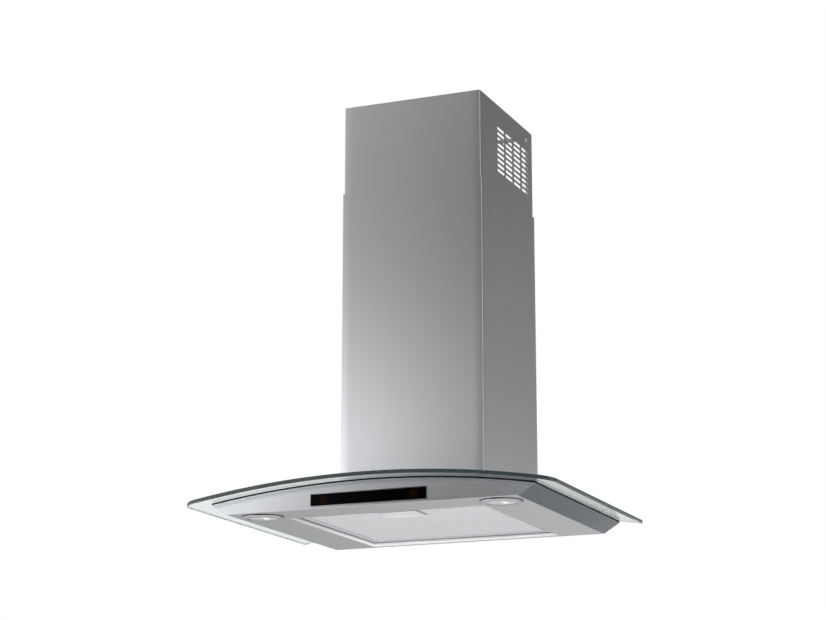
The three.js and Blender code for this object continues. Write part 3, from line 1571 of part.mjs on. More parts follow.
function chimneyScrew(side) {
  const turn = new THREE.Matrix4().makeRotationY(side * Math.PI / 2);
  turn.setPosition(side * (upperHalfWidth + 0.1), -SIDE_SCREW_FROM_WALL, bracketMiddle);
  return moved(screw(SIDE_SCREW_RADIUS, SIDE_SCREW_LENGTH, SIDE_SCREW_HEAD), turn);
}

// A small angle on the box's side that reaches the lower cover, under the lowest
// place of the upper one.
function chimneyClip(side) {
  const half = CLIP_SHEET / 2;
  const inner = CHASSIS_WIDTH / 2 + SEAT_GAP + half;
  const outer = lowerWidth / 2 - CHIMNEY_SHEET - SEAT_GAP - half;
  const strip = bentStrip([
    [side * inner, -CLIP_FROM_WALL - CLIP_FOOT],
    [side * inner, -CLIP_FROM_WALL],
    [side * outer, -CLIP_FROM_WALL],
    [side * outer, -CLIP_FROM_WALL + CLIP_TOE],
  ], CLIP_SHEET);
  const seatZ = bendCentreZ + Math.sqrt(glassTopRadius ** 2 - chassis.right ** 2);
  return alongZ(strip, seatZ + CLIP_ABOVE_SEAT, seatZ + CLIP_ABOVE_SEAT + CLIP_HEIGHT);
}

place('lower_chimney', lowerChimney(), FINISHES.brushedSteel);
place('upper_chimney', upperChimney(), FINISHES.brushedSteel);
place('chimney_bracket', chimneyBracket(), FINISHES.galvanised);
for (const [name, side] of [['left', -1], ['right', 1]]) {
  place(`chimney_screw_${name}`, chimneyScrew(side), FINISHES.zinc);
  place(`chimney_clip_${name}`, chimneyClip(side), FINISHES.galvanised);
}

// The origin lies on the wall, at the middle of the rail's plate.
hood.position.z = -(railHookZ - RAIL_HEIGHT / 2);

export default hood;
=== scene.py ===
# %% [markdown]
# # A wall-hung range hood with a bent glass canopy
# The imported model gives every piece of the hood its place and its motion. This
# lesson dresses it: it gives each piece the finish of the real one, and where the
# plain solid is too coarse for the eye it lays a finer surface in the same place.

# %% Load the hood
import math

import bmesh
import bpy
import numpy as np
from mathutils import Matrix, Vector


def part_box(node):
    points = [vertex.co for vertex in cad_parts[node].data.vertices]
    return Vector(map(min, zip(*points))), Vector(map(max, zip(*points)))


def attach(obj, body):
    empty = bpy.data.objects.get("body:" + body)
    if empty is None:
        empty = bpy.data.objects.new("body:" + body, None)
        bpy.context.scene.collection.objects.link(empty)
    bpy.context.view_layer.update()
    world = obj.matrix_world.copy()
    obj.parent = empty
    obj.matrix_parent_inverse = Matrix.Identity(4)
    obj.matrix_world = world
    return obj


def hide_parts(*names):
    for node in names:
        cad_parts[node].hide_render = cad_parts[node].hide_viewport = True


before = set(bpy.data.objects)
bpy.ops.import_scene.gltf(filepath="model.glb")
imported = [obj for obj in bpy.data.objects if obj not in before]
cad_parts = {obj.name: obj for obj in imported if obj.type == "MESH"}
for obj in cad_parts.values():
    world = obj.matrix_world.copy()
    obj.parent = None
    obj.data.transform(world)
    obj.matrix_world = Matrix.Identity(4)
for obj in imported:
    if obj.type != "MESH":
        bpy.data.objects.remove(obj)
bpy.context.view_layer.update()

# %% [markdown]
# ## The camera
# The hood is seen from a little below and from its right, with a long lens, so its
# upright edges stay almost parallel. The camera's place and its lens were worked
# out from the corners of chimney, tray and glass. It is aimed along a line of
# sight that is made from its turn and its tilt.

# %% Place the camera
MM = 0.001
DROP = 241  # the tray's underside lies this far under the frame's origin, in mm

camera_data = bpy.data.cameras.new("camera")
camera_data.sensor_width = 36
camera_data.lens = 97.96
camera_data.clip_start, camera_data.clip_end = 0.05, 60  # metres
camera = bpy.data.objects.new("camera", camera_data)
bpy.context.scene.collection.objects.link(camera)
camera.location = (1.345, -3.450, (-546 - DROP) * MM)
turn, tilt = math.radians(22.75), math.radians(14.31)
sight = Vector((
    -math.sin(turn) * math.cos(tilt),
    math.cos(turn) * math.cos(tilt),
    math.sin(tilt),
))
camera.rotation_mode = "QUATERNION"
camera.rotation_quaternion = sight.to_track_quat("-Z", "Y")
bpy.context.scene.camera = camera
bpy.context.scene.view_settings.view_transform = "Standard"
print("the camera stands", round(camera.location.length, 2), "m from the frame's origin")

# %% [markdown]
# ## Three small helpers for materials
# Every finish is a tree of shader nodes. One function adds a node with its
# settings and its links, one starts a finish, and one turns a colour as a paint
# chart gives it, in sRGB hex, to the linear numbers that light is reckoned in.

# %% Add a node, convert a colour


def linear(colour):
    """Each channel c of the hex colour becomes ((c + 0.055) / 1.055) ** 2.4, or c / 12.92
    near black."""
    channels = [int(colour[i:i + 2], 16) / 255 for i in (1, 3, 5)]
    return [c / 12.92 if c <= 0.04045 else ((c + 0.055) / 1.055) ** 2.4 for c in channels] + [1.0]


def add(tree, kind, inputs=None, **settings):
    """Adds one node. The inputs are plain values, or outputs of other nodes to link."""
    new = tree.nodes.new(kind)
    for name, value in settings.items():
        setattr(new, name, value)
    for socket, value in (inputs or {}).items():
        if isinstance(value, bpy.types.NodeSocket):
            tree.links.new(value, new.inputs[socket])
        else:
            new.inputs[socket].default_value = value
    return new


def finish(name, **values):
    """A material and its tree, its Principled shader and the piece's own coordinates."""
    material = bpy.data.materials.new(name)
    material.use_nodes = True
    tree = material.node_tree
    shader = tree.nodes["Principled BSDF"]
    for socket, value in values.items():
        shader.inputs[socket.replace("_", " ")].default_value = value
    place = add(tree, "ShaderNodeTexCoord").outputs["Object"]
    return material, tree, shader, place


print("a middle grey, #808080, is", round(linear("#808080")[0], 3), "of white in linear light")

# %% [markdown]
# ## The studio
# The hood was shot on white. The white comes from the world as the camera, mirrors
# and glass see it, at a strength of 1, while what is matt is lit by a softer grey
# world and three soft boxes.

# %% Light what is matt
world = bpy.data.worlds.new("studio")
bpy.context.scene.world = world
world.use_nodes = True
sky = world.node_tree


def seen(tree):
    """1 for light that goes straight to the camera, or by way of a mirror or glass, and 0
    for light that falls on matt things."""
    path = add(tree, "ShaderNodeLightPath").outputs
    some = add(tree, "ShaderNodeMath", {0: path["Is Camera Ray"], 1: path["Is Glossy Ray"]},
               operation="ADD")
    some = add(tree, "ShaderNodeMath", {0: some.outputs[0], 1: path["Is Transmission Ray"]},
               operation="ADD", use_clamp=True)
    return some.outputs[0]


soft = sky.nodes["Background"]
soft.inputs["Color"].default_value = linear("#f4f5f7")
soft.inputs["Strength"].default_value = 0.55
white = add(sky, "ShaderNodeBackground", {"Color": (1, 1, 1, 1), "Strength": 1.0})
both = add(sky, "ShaderNodeMixShader", {0: seen(sky), 1: soft.outputs[0], 2: white.outputs[0]})
sky.links.new(both.outputs[0], sky.nodes["World Output"].inputs["Surface"])


def soft_box(name, place, target, width, height, watts):
    """An area lamp at place that looks at target."""
    data = bpy.data.lights.new(name, "AREA")
    data.shape, data.size, data.size_y, data.energy = "RECTANGLE", width, height, watts
    lamp = bpy.data.objects.new(name, data)
    lamp.location = place
    lamp.rotation_mode = "QUATERNION"
    lamp.rotation_quaternion = (Vector(target) - Vector(place)).to_track_quat("-Z", "Y")
    lamp.visible_glossy = False
    bpy.context.scene.collection.objects.link(lamp)


soft_box("key_box", (-1.7, -2.3, 0.9), (0, -0.2, 0), 1.2, 1.2, 26)
soft_box("fill_box", (2.2, -1.6, 0.8), (0, -0.2, 0.1), 1.2, 1.2, 12)
soft_box("low_box", (0.2, -1.4, -1.35), (0, -0.2, -0.2), 1.4, 1.0, 16)
print("soft boxes:", len(bpy.data.lights))

# %% [markdown]
# ## Boards for the steel to mirror
# Steel shows only what it mirrors, so, as in a real studio, boards stand where it
# looks. Those in front draw the grey that runs across the chimney and the tray's
# front, and those behind give the chimney's side and the underside something to
# mirror. The two low ones keep the lips of the filter's opening dark. Each board
# is a grid of points that carries its own light, worked out by a short function of
# its place, as an attribute. Neither the camera nor matt surfaces see them.

# %% Set up the boards


def board(name, y, xs, zs, light, tone):
    """An upright board across the y axis that only mirrors see, and through glass too where
    it stands in front. light gives how bright it is at (x, z), where 1 is white, and tone
    its tint."""
    x, z = np.meshgrid(xs, zs)
    index = np.arange(x.size).reshape(x.shape)
    faces = np.stack([index[:-1, :-1], index[:-1, 1:], index[1:, 1:], index[1:, :-1]], -1)
    mesh = bpy.data.meshes.new(name)
    mesh.from_pydata(np.stack([x, np.full_like(x, y), z], -1).reshape(-1, 3).tolist(), [],
                     faces.reshape(-1, 4).tolist())
    mesh.attributes.new("light", "FLOAT", "POINT").data.foreach_set(
        "value", np.broadcast_to(light(x, z), x.shape).astype(np.float32).ravel())
    material = bpy.data.materials.new(name)
    material.use_nodes = True
    tree = material.node_tree
    tree.nodes.remove(tree.nodes["Principled BSDF"])
    level = add(tree, "ShaderNodeAttribute", attribute_name="light")
    glow = add(tree, "ShaderNodeEmission", {"Color": linear(tone), "Strength": level.outputs["Fac"]})
    tree.links.new(glow.outputs[0], tree.nodes["Material Output"].inputs["Surface"])
    mesh.materials.append(material)
    made = bpy.data.objects.new(name, mesh)
    bpy.context.scene.collection.objects.link(made)
    made.visible_camera = False
    made.visible_diffuse = False
    made.visible_transmission = y < 0
    made.visible_shadow = False


def chimney_light(x, z):
    """Dark to the right, and brighter to the left, the more so near the bottom: a base plus
    a rise times the distance to the left of an upright line, both set by the height."""
    heights = (0.06, 0.26, 0.41, 0.56, 0.69, 0.84, 0.95)
    base = np.interp(z, heights, (0.48, 0.27, 0.24, 0.175, 0.152, 0.19, 0.29))
    rise = np.interp(z, heights, (1.6, 0.67, 0.39, 0.30, 0.25, 0.17, 0.25))
    return base + rise * np.clip((-0.33 - x) / 0.36, 0, 1.8)


def fascia_light(x, z):
    """Bright on the left, darkest a little left of the middle, and grey to the right."""
    return np.interp(x, (-0.95, -0.86, -0.78, -0.71, -0.60, -0.53, -0.46, -0.33, -0.20, -0.10, 0.1),
                     (1.45, 1.42, 1.26, 0.64, 0.36, 0.17, 0.04, 0.0, 0.24, 0.38, 0.36))


def side_light(x, z):
    """A factor that falls with the height times one that changes from left to right."""
    return (np.interp(z, (0.1, 0.45, 0.75, 1.05), (0.42, 0.31, 0.23, 0.178))
            * np.interp(x, (0.3, 0.58, 0.71, 0.9, 1.05), (0.4, 0.72, 1.22, 1.45, 0.4)))


def under_light(x, z):
    """A little brighter to the right."""
    return np.interp(x, (-1.0, -0.6, -0.33, 0.0), (0.47, 0.53, 0.6, 0.64))


def lip_light(x, z):
    """Dark all over."""
    return np.full_like(x, 0.16)


FRONT, BACK = -1.55, 1.3  # where the boards cross the y axis
WHITE, BLUISH, COOL = "#ffffff", "#f9fbff", "#e7f1ff"
ALL_ALONG = np.linspace(-2.6, 2.4, 101)
board("chimney_board", FRONT, ALL_ALONG, np.linspace(0.06, 2.6, 52), chimney_light, WHITE)
board("fascia_board", FRONT, ALL_ALONG, np.linspace(-0.62, 0.06, 8), fascia_light, BLUISH)
board("shin_board", FRONT, np.linspace(-0.36, 0.4, 4), np.linspace(-1.2, -0.62, 3), lip_light, COOL)
board("side_board", BACK, np.linspace(0.3, 2.4, 43), np.linspace(0.0, 2.6, 53), side_light, WHITE)
board("under_board", BACK, np.linspace(-2.4, 0.02, 49), np.linspace(-1.3, 0.0, 14), under_light, WHITE)
board("lip_board", BACK, np.linspace(0.03, 1.2, 5), np.linspace(-1.6, -0.62, 5), lip_light, COOL)
print("the boards stand at y =", FRONT, "and", BACK, "m")

# %% [markdown]
# ## The floor
# The floor lies 1.4 m under the hood, as under a real one. It is pale paint that
# keeps some of its shading, so that a shadow would show on it, and for the rest it
# glows white, a little less in mirrors. Seen from below it is left out, so that
# the hood can be looked at from under the floor's level.

# %% Lay the floor
floor_mesh = bpy.data.meshes.new("floor")
REACH, LEVEL = 60.0, -1.65  # metres
square = np.array([(-1, -1), (1, -1), (1, 1), (-1, 1)]) * REACH
floor_mesh.from_pydata([(x, y, LEVEL) for x, y in square], [], [(0, 1, 2, 3)])
floor = bpy.data.objects.new("floor", floor_mesh)
bpy.context.scene.collection.objects.link(floor)
floor_paint, tree, shader, _ = finish("pale_floor_paint", Base_Color=linear("#f3f3f2"), Roughness=0.9)
paler = add(tree, "ShaderNodeEmission", {"Color": (1, 1, 1, 1), "Strength": 1.0})
mirrored = add(tree, "ShaderNodeLightPath").outputs["Is Glossy Ray"]
share = add(tree, "ShaderNodeMath", {0: seen(tree), 1: 0.9}, operation="MULTIPLY")
share = add(tree, "ShaderNodeMath", {0: mirrored, 1: -0.25, 2: share.outputs[0]},
            operation="MULTIPLY_ADD")
paint = add(tree, "ShaderNodeMixShader",
            {0: share.outputs[0], 1: shader.outputs[0], 2: paler.outputs[0]})
below = add(tree, "ShaderNodeNewGeometry").outputs["Backfacing"]
gone = add(tree, "ShaderNodeBsdfTransparent")
one_sided = add(tree, "ShaderNodeMixShader", {0: below, 1: paint.outputs[0], 2: gone.outputs[0]})
tree.links.new(one_sided.outputs[0], tree.nodes["Material Output"].inputs["Surface"])
floor_mesh.materials.append(floor_paint)
print("the floor lies at", LEVEL, "m")

# %% [markdown]
# ## Brushed stainless steel
# The chimney and the tray are stainless sheet, ground with a belt that leaves fine
# straight scratches, so that highlights spread across them. The scratches are
# finer than the picture can show, about 0.05 mm, so they are drawn about 1 mm
# apart and 150 mm long. They run up the chimney and along the tray. A photograph
# of brushed steel could be laid on, or the shader's own stretched highlight could
# be used. Noise drawn out along the grain needs neither a picture nor a direction
# for each face, and shows single scratches from close by.

# %% Brush the steel


def brushed(name, colour, spacing, roughness, depth):
    """Noise stretched along the grain roughens and lifts the sheet, and a slow cloud of
    noise varies it. spacing is the size of the grain along x, y and z, in metres."""
    material, tree, shader, place = finish(name, Base_Color=linear(colour), Metallic=1.0)
    scale = [1 / s for s in spacing]
    at = add(tree, "ShaderNodeMapping", {"Vector": place, "Scale": scale})
    grain = add(tree, "ShaderNodeTexNoise",
                {"Vector": at.outputs[0], "Scale": 1.0, "Detail": 3.0, "Roughness": 0.6})
    cloud = add(tree, "ShaderNodeTexNoise", {"Vector": place, "Scale": 6.0, "Detail": 2.0})
    mixed = add(tree, "ShaderNodeMath", {0: grain.outputs["Fac"], 1: 0.75, 2: 0.12},
                operation="MULTIPLY_ADD")
    mixed = add(tree, "ShaderNodeMath", {0: cloud.outputs["Fac"], 1: 0.25, 2: mixed.outputs[0]},
                operation="MULTIPLY_ADD")
    rough = add(tree, "ShaderNodeMapRange",
                {"Value": mixed.outputs[0], "From Min": 0.25, "From Max": 0.85,
                 "To Min": roughness - 0.03, "To Max": roughness + 0.04})
    tint = add(tree, "ShaderNodeMapRange",
               {"Value": grain.outputs["Fac"], "From Min": 0.3, "From Max": 0.7,
                "To Min": 0.975, "To Max": 1.0})
    base = linear(colour)
    shade = add(tree, "ShaderNodeVectorMath", {0: base[:3], "Scale": tint.outputs[0]},
                operation="SCALE")
    lift = add(tree, "ShaderNodeBump",
               {"Height": grain.outputs["Fac"], "Strength": depth, "Distance": 0.00015})
    tree.links.new(shade.outputs[0], shader.inputs["Base Color"])
    tree.links.new(rough.outputs[0], shader.inputs["Roughness"])
    tree.links.new(lift.outputs[0], shader.inputs["Normal"])
    return material


FINE, LONG = 0.0011, 0.15
chimney_steel = brushed("brushed_stainless_upright", "#d3d4d6", (FINE, FINE, LONG), 0.28, 0.09)
tray_steel = brushed("brushed_stainless_level", "#d3d4d6", (LONG, FINE, FINE), 0.27, 0.03)
print("brushed:", chimney_steel.name, tray_steel.name)

# %% [markdown]
# ## Satin aluminium
# The filter is rolled aluminium with a thin anodised layer. The layer scatters
# light and hides part of the metal's mirror, so it is only about half metallic.

# %% Anodise the aluminium
ROLLED = (0.08, 0.0014, 0.0014)
filter_aluminium = brushed("satin_anodised_aluminium", "#eeeff1", ROLLED, 0.5, 0.2)
rail_aluminium = brushed("satin_anodised_rail", "#d6d7da", ROLLED, 0.5, 0.2)
for aluminium in (filter_aluminium, rail_aluminium):
    aluminium.node_tree.nodes["Principled BSDF"].inputs["Metallic"].default_value = 0.55
print("anodised:", filter_aluminium.name, rail_aluminium.name)

# %% [markdown]
# ## Zinc, chrome and other metals
# The box, rail and brackets that nobody sees are galvanised sheet: cheap, dull,
# and mottled with the zinc's crystals, here 9 mm across. Screws are zinc plated.
# The lamp rings and the frame of the control strip are chromed, which mirrors sharply. The edge of the
# filter's opening is the tray's steel painted almost white and only half metallic, a painted highlight
# that shows as a bright line.

# %% Mix the other metals


def mottled(name, colours, grain, roughness, metallic=1.0):
    """Cells of a Voronoi pattern, grain metres across, take colours between two hex values."""
    material, tree, shader, place = finish(name, Metallic=metallic, Roughness=roughness)
    cells = add(tree, "ShaderNodeTexVoronoi", {"Vector": place, "Scale": 1 / grain})
    tone = add(tree, "ShaderNodeSeparateColor", {"Color": cells.outputs["Color"]})
    ends = {6: linear(colours[0]), 7: linear(colours[1])}
    mix = add(tree, "ShaderNodeMix", {"Factor": tone.outputs[0], **ends}, data_type="RGBA")
    rough = add(tree, "ShaderNodeMapRange",
                {"Value": tone.outputs[0], "To Min": roughness - 0.06, "To Max": roughness + 0.08})
    tree.links.new(mix.outputs[2], shader.inputs["Base Color"])
    tree.links.new(rough.outputs[0], shader.inputs["Roughness"])
    return material


def speckled(name, colour, size, roughness, bump, metallic=0.0, **more):
    """Fine noise, size metres across, roughens and lifts one colour, as on a moulding or a
    casting."""
    material, tree, shader, place = finish(name, Base_Color=linear(colour), Metallic=metallic, **more)
    fine = add(tree, "ShaderNodeTexNoise", {"Vector": place, "Scale": 1 / size, "Detail": 2.0})
    rough = add(tree, "ShaderNodeMapRange",
                {"Value": fine.outputs["Fac"], "To Min": roughness - 0.08, "To Max": roughness + 0.08})
    lift = add(tree, "ShaderNodeBump",
               {"Height": fine.outputs["Fac"], "Strength": bump, "Distance": 0.0002})
    tree.links.new(rough.outputs[0], shader.inputs["Roughness"])
    tree.links.new(lift.outputs[0], shader.inputs["Normal"])
    return material


galvanised = mottled("galvanised_sheet", ("#a3a7aa", "#c0c4c6"), 0.009, 0.42)
zinc = speckled("zinc_plate", "#c9cdd0", 0.002, 0.28, 0.1, metallic=1.0)
chrome = speckled("chrome_plate", "#e6e8ea", 0.02, 0.12, 0.02, metallic=1.0)
satin_chrome = speckled("satin_chrome_plate", "#c9cbce", 0.004, 0.26, 0.05, metallic=1.0)
# The curve round the filter's opening: steel painted almost white and half matt, a painted highlight.
edge_steel_painted_highlight = speckled("stainless_edge_painted_highlight", "#fafafb", 0.01, 0.2, 0.02, metallic=0.5)
cast_aluminium = speckled("die_cast_aluminium", "#b5b7ba", 0.0012, 0.5, 0.5, metallic=1.0)
motor_shell = speckled("pressed_steel_shell", "#9fa3a7", 0.004, 0.4, 0.2, metallic=1.0)
print("metals:", galvanised.name, zinc.name, chrome.name, edge_steel_painted_highlight.name)

# %% [markdown]
# ## Plastic, rubber and board
# The fan's scroll, the duct collar and the electronics box are moulded ABS or
# polypropylene with a fine spark-eroded texture. The seal is EPDM rubber, nearly
# black and matt. The circuit board is green solder mask.

# %% Mould the plastics
dark_plastic = speckled("spark_textured_abs_dark", "#34373b", 0.0008, 0.55, 0.5)
grey_plastic = speckled("spark_textured_abs_grey", "#8d9196", 0.0008, 0.5, 0.5)
rubber = speckled("epdm_rubber", "#08090a", 0.0015, 0.75, 0.4, Specular_IOR_Level=0.1)
solder_mask = speckled("green_solder_mask", "#1f5a40", 0.006, 0.35, 0.3)
print("plastics:", dark_plastic.name, grey_plastic.name, rubber.name)

# %% [markdown]
# ## Glass
# The canopy is 6 mm tempered float glass. Through its faces it looks almost clear, but light that runs
# along inside it comes out dark green at the ground edge, so the edge has a finish of its own: that
# dark green, and where the edge is seen from inside, a pale painted light.
# Real glass has an index of refraction of 1.5. Here 1.25 is used, because it keeps
# the tray's mirror image under the canopy as faint as it looks on the real hood.

# %% Melt the glass
clear_glass = finish("tempered_float_glass", Base_Color=linear("#f6fbfb"), Roughness=0.0,
                     Transmission_Weight=0.97, IOR=1.25)[0]

edge_glass = speckled("ground_glass_edge", "#15292d", 0.003, 0.28, 0.05, IOR=1.8)
tree = edge_glass.node_tree
# Seen from inside, the edge is painted pale: painted light that comes through the ground edge.
behind = add(tree, "ShaderNodeNewGeometry").outputs["Backfacing"]
tone = add(tree, "ShaderNodeMix", {"Factor": behind, 6: linear("#15292d"), 7: linear("#e3e9ea")},
           data_type="RGBA")
tree.links.new(tone.outputs[2], tree.nodes["Principled BSDF"].inputs["Base Color"])
print("glass:", clear_glass.name, edge_glass.name)

# %% [markdown]
# ## The printed glass of the control strip
# The strip is glass printed black from behind. Two faint red lights show through
# near its ends: a glow that fades with the distance from the light's middle, the
# same on the left and on the right because it reads the distance from the centre
# line.

# %% Print the control strip
LIGHT_X, LIGHT_Z, LIGHT_RADIUS = 74, 13.2, 11
black_glass, tree, shader, place = finish(
    "black_printed_glass", Base_Color=linear("#020203"), Roughness=0.06, IOR=1.5,
    Specular_IOR_Level=0.1)
at = add(tree, "ShaderNodeSeparateXYZ", {"Vector": place})
sideways = add(tree, "ShaderNodeMath", {0: at.outputs["X"]}, operation="ABSOLUTE")
away = add(tree, "ShaderNodeMath", {0: sideways.outputs[0], 1: LIGHT_X * MM}, operation="SUBTRACT")
height = add(tree, "ShaderNodeMath", {0: at.outputs["Z"], 1: (DROP - LIGHT_Z) * MM}, operation="ADD")
disc = add(tree, "ShaderNodeCombineXYZ", {"X": away.outputs[0], "Y": height.outputs[0]})
far = add(tree, "ShaderNodeVectorMath", {0: disc.outputs[0]}, operation="LENGTH")
glow = add(tree, "ShaderNodeMapRange",
           {"Value": far.outputs["Value"], "From Min": 0.0, "From Max": LIGHT_RADIUS * MM,
            "To Min": 0.02, "To Max": 0.0}, interpolation_type="SMOOTHSTEP")
red = add(tree, "ShaderNodeVectorMath", {0: linear("#c8402e")[:3], "Scale": glow.outputs[0]},
          operation="SCALE")
tree.links.new(red.outputs[0], shader.inputs["Emission Color"])
shader.inputs["Emission Strength"].default_value = 1.0
print("printed:", black_glass.name)

# %% [markdown]
# ## The opal lens of a lamp
# The lens is opal polycarbonate, which spreads the light of a row of small diodes behind it. Seen from
# below it is pale grey with one bright spot, a painted highlight: the material glows there and fades
# within 6 mm.

# %% Frost the lens and paint its highlight


def frosted_lens_with_painted_highlight(name, centre):
    """Opal polycarbonate with a painted highlight: it glows at centre, and the glow falls off with the
    distance from there, and half as fast along y."""
    material, tree, shader, place = finish(
        name, Base_Color=linear("#c4c7ca"), Roughness=0.35, Coat_Weight=0.4, IOR=1.55)
    away = add(tree, "ShaderNodeVectorMath", {0: place, 1: centre}, operation="SUBTRACT")
    flat = add(tree, "ShaderNodeVectorMath", {0: away.outputs[0], 1: (1, 0.5, 0)}, operation="MULTIPLY")
    far = add(tree, "ShaderNodeVectorMath", {0: flat.outputs[0]}, operation="LENGTH")
    glow = add(tree, "ShaderNodeMapRange",
               {"Value": far.outputs["Value"], "From Min": 0.001, "From Max": 0.006,
                "To Min": 0.8, "To Max": 0.0}, interpolation_type="SMOOTHSTEP")
    light = add(tree, "ShaderNodeVectorMath", {0: (1.0, 0.99, 0.96), "Scale": glow.outputs[0]},
                operation="SCALE")
    tree.links.new(light.outputs[0], shader.inputs["Emission Color"])
    shader.inputs["Emission Strength"].default_value = 1.0
    return material


# %% [markdown]
# ## Surfaces from arrays
# A surface is a grid of points: one direction runs round the piece and the other
# along it. Where the grid closes on itself in both directions it is a ring, and
# no seam is left open. Modelling by hand or with modifiers would do as well, but
# a shape that is worked out keeps its real sizes, and is quick to change.

# %% Turn a grid into a piece


SHARP = 35  # degrees between faces, past which an edge is drawn as an edge


def piece(name, points, faces, materials, body, picks=None, sharp=SHARP):
    """Makes the mesh of a piece that rides on a body. picks gives each face's material."""
    mesh = bpy.data.meshes.new(name)
    mesh.from_pydata(np.asarray(points, float).reshape(-1, 3).tolist(), [],
                     [list(map(int, f)) for f in faces])
    for material in materials:
        mesh.materials.append(material)
    if picks is not None:
        mesh.polygons.foreach_set("material_index", np.asarray(picks, np.int32))
    mesh.validate()
    mesh.shade_smooth()
    mesh.set_sharp_from_angle(angle=math.radians(sharp))
    made = bpy.data.objects.new(name, mesh)
    bpy.context.scene.collection.objects.link(made)
    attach(made, body)
    return made


def ring_faces(rows, columns, close_rows=True):
    """The quads of a grid that closes on itself along its columns, and along its rows too
    where asked: point (r, c) is number r * columns + c."""
    r, c = np.meshgrid(np.arange(rows if close_rows else rows - 1), np.arange(columns),
                       indexing="ij")
    r, c = r.ravel(), c.ravel()
    up, on = (r + 1) % rows, (c + 1) % columns
    return np.stack([r * columns + c, r * columns + on, up * columns + on, up * columns + c], 1)


def outward(made):
    """Turns every face of a closed piece to point out of it. The volume is the sum of
    a . (b x c) / 6 over its triangles, and is negative where they point inwards."""
    mesh = made.data
    points = np.empty(len(mesh.vertices) * 3)
    mesh.vertices.foreach_get("co", points)
    points = points.reshape(-1, 3)
    mesh.calc_loop_triangles()
    corners = np.empty(len(mesh.loop_triangles) * 3, np.int32)
    mesh.loop_triangles.foreach_get("vertices", corners)
    a, b, c = points[corners.reshape(-1, 3)].transpose(1, 0, 2)
    volume = np.einsum("ij,ij->i", a, np.cross(b, c)).sum() / 6
    if volume < 0:
        mesh.flip_normals()
    print(made.name, "holds", round(abs(volume) * 1e6, 2), "cm3")
    return made


# %% [markdown]
# ## The bent glass canopy
# Its plan is a rectangle with two round front corners and a rectangular air
# opening, and all of it lies on a cylinder of 1.6 m radius. Rays from the middle of
# the opening cross both outlines once, so the glass is a grid: round the rays, and
# from the opening's rim out over the underside, round the ground edge, and back
# over the top.

# %% Bend a plan
BEND = 1600  # radius of the underside
CROWN = 41.5  # height of the underside over the tray's, at the middle
THICK = 6
GLASS = dict(cx=0, cy=-222, hx=300, hy=219, front=20, rear=2)
AIRWAY = dict(cx=0, cy=-125, hx=88, hy=91, front=8, rear=8)


def on_bend(x, y, height):
    """The point over (x, y) that lies height above the underside of the glass: its z is
    that of the bend's axis, plus the root of radius squared less x squared."""
    radius = BEND + height
    z = CROWN - BEND + np.sqrt(radius ** 2 - x ** 2)
    return np.stack(np.broadcast_arrays(x, y, z - DROP), -1) * MM


def round_box_distance(x, y, cx, cy, hx, hy, front, rear):
    """How far (x, y) lies outside a rectangle of half sizes hx and hy, whose corners have
    one radius at the front and one at the rear: the length of what sticks out past the
    corner's centre, less the radius."""
    r = np.where(y < cy, front, rear)
    qx, qy = np.abs(x - cx) - (hx - r), np.abs(y - cy) - (hy - r)
    return np.hypot(np.maximum(qx, 0), np.maximum(qy, 0)) + np.minimum(np.maximum(qx, qy), 0) - r


FARTHEST = 900.0  # longer than any ray inside the plan
HALVINGS = 44


def reach_of(angles, origin, inset=0.0, **plan):
    """How far a ray from origin runs before it leaves the plan, which is made smaller by
    inset all round. It is found by halving the interval again and again."""
    plan = dict(plan, hx=plan["hx"] - inset, hy=plan["hy"] - inset,
                front=plan["front"] - inset, rear=plan["rear"] - inset)
    low, high = np.zeros_like(angles), np.full_like(angles, FARTHEST)
    for _ in range(HALVINGS):
        middle = (low + high) / 2
        outside = round_box_distance(origin[0] + middle * np.cos(angles),
                                     origin[1] + middle * np.sin(angles), **plan) > 0
        low, high = np.where(outside, low, middle), np.where(outside, middle, high)
    return (low + high) / 2


def corner_angles(origin, cx, cy, hx, hy, front, rear, steps=12):
    """The angles, seen from origin, of points spread over the four round corners of a plan."""
    arc = np.linspace(0, math.pi / 2, steps)
    signs = np.array([(1, 1), (-1, 1), (-1, -1), (1, -1)], float)[:, :, None]
    r = np.where(signs[:, 1] < 0, front, rear)
    x = cx + signs[:, 0] * (hx - r + r * np.cos(arc))
    y = cy + signs[:, 1] * (hy - r + r * np.sin(arc))
    return np.arctan2(y - origin[1], x - origin[0]).ravel()


hub = (AIRWAY["cx"], AIRWAY["cy"])
angles = np.concatenate([np.linspace(-math.pi, math.pi, 180, endpoint=False),
                         corner_angles(hub, **GLASS), corner_angles(hub, **AIRWAY)])
angles = np.unique(np.round(angles, 5))
print("rays from the hub:", len(angles))

# %% [markdown]
# ## The rings of the glass
# The rings run out over the underside in even steps, round the ground edge in
# seven, and back over the top. The rows of faces between them take the clear
# finish, apart from the ground edge and the wall of the opening.

# %% Bend the glass
# Each step round the edge: how far it lies inside the outline and over the
# underside, in millimetres, and how steeply its normal climbs, in degrees.
EDGE = ((0.8, 0.02, -75), (0.3, 0.25, -50), (0.02, 1.2, -20), (0.0, 3.0, 0),
        (0.02, 5.1, 20), (0.3, 5.75, 50), (0.8, 5.98, 75))
EDGE_WIDTH = 1.4  # the flat faces end this far inside the outline
spans = np.linspace(0, 1, 22)
inner = reach_of(angles, hub, **AIRWAY)
outer = reach_of(angles, hub, EDGE_WIDTH, **GLASS)


def ring(reach, height):
    """The points at the distance reach from the hub along each ray."""
    return on_bend(hub[0] + reach * np.cos(angles), hub[1] + reach * np.sin(angles), height)


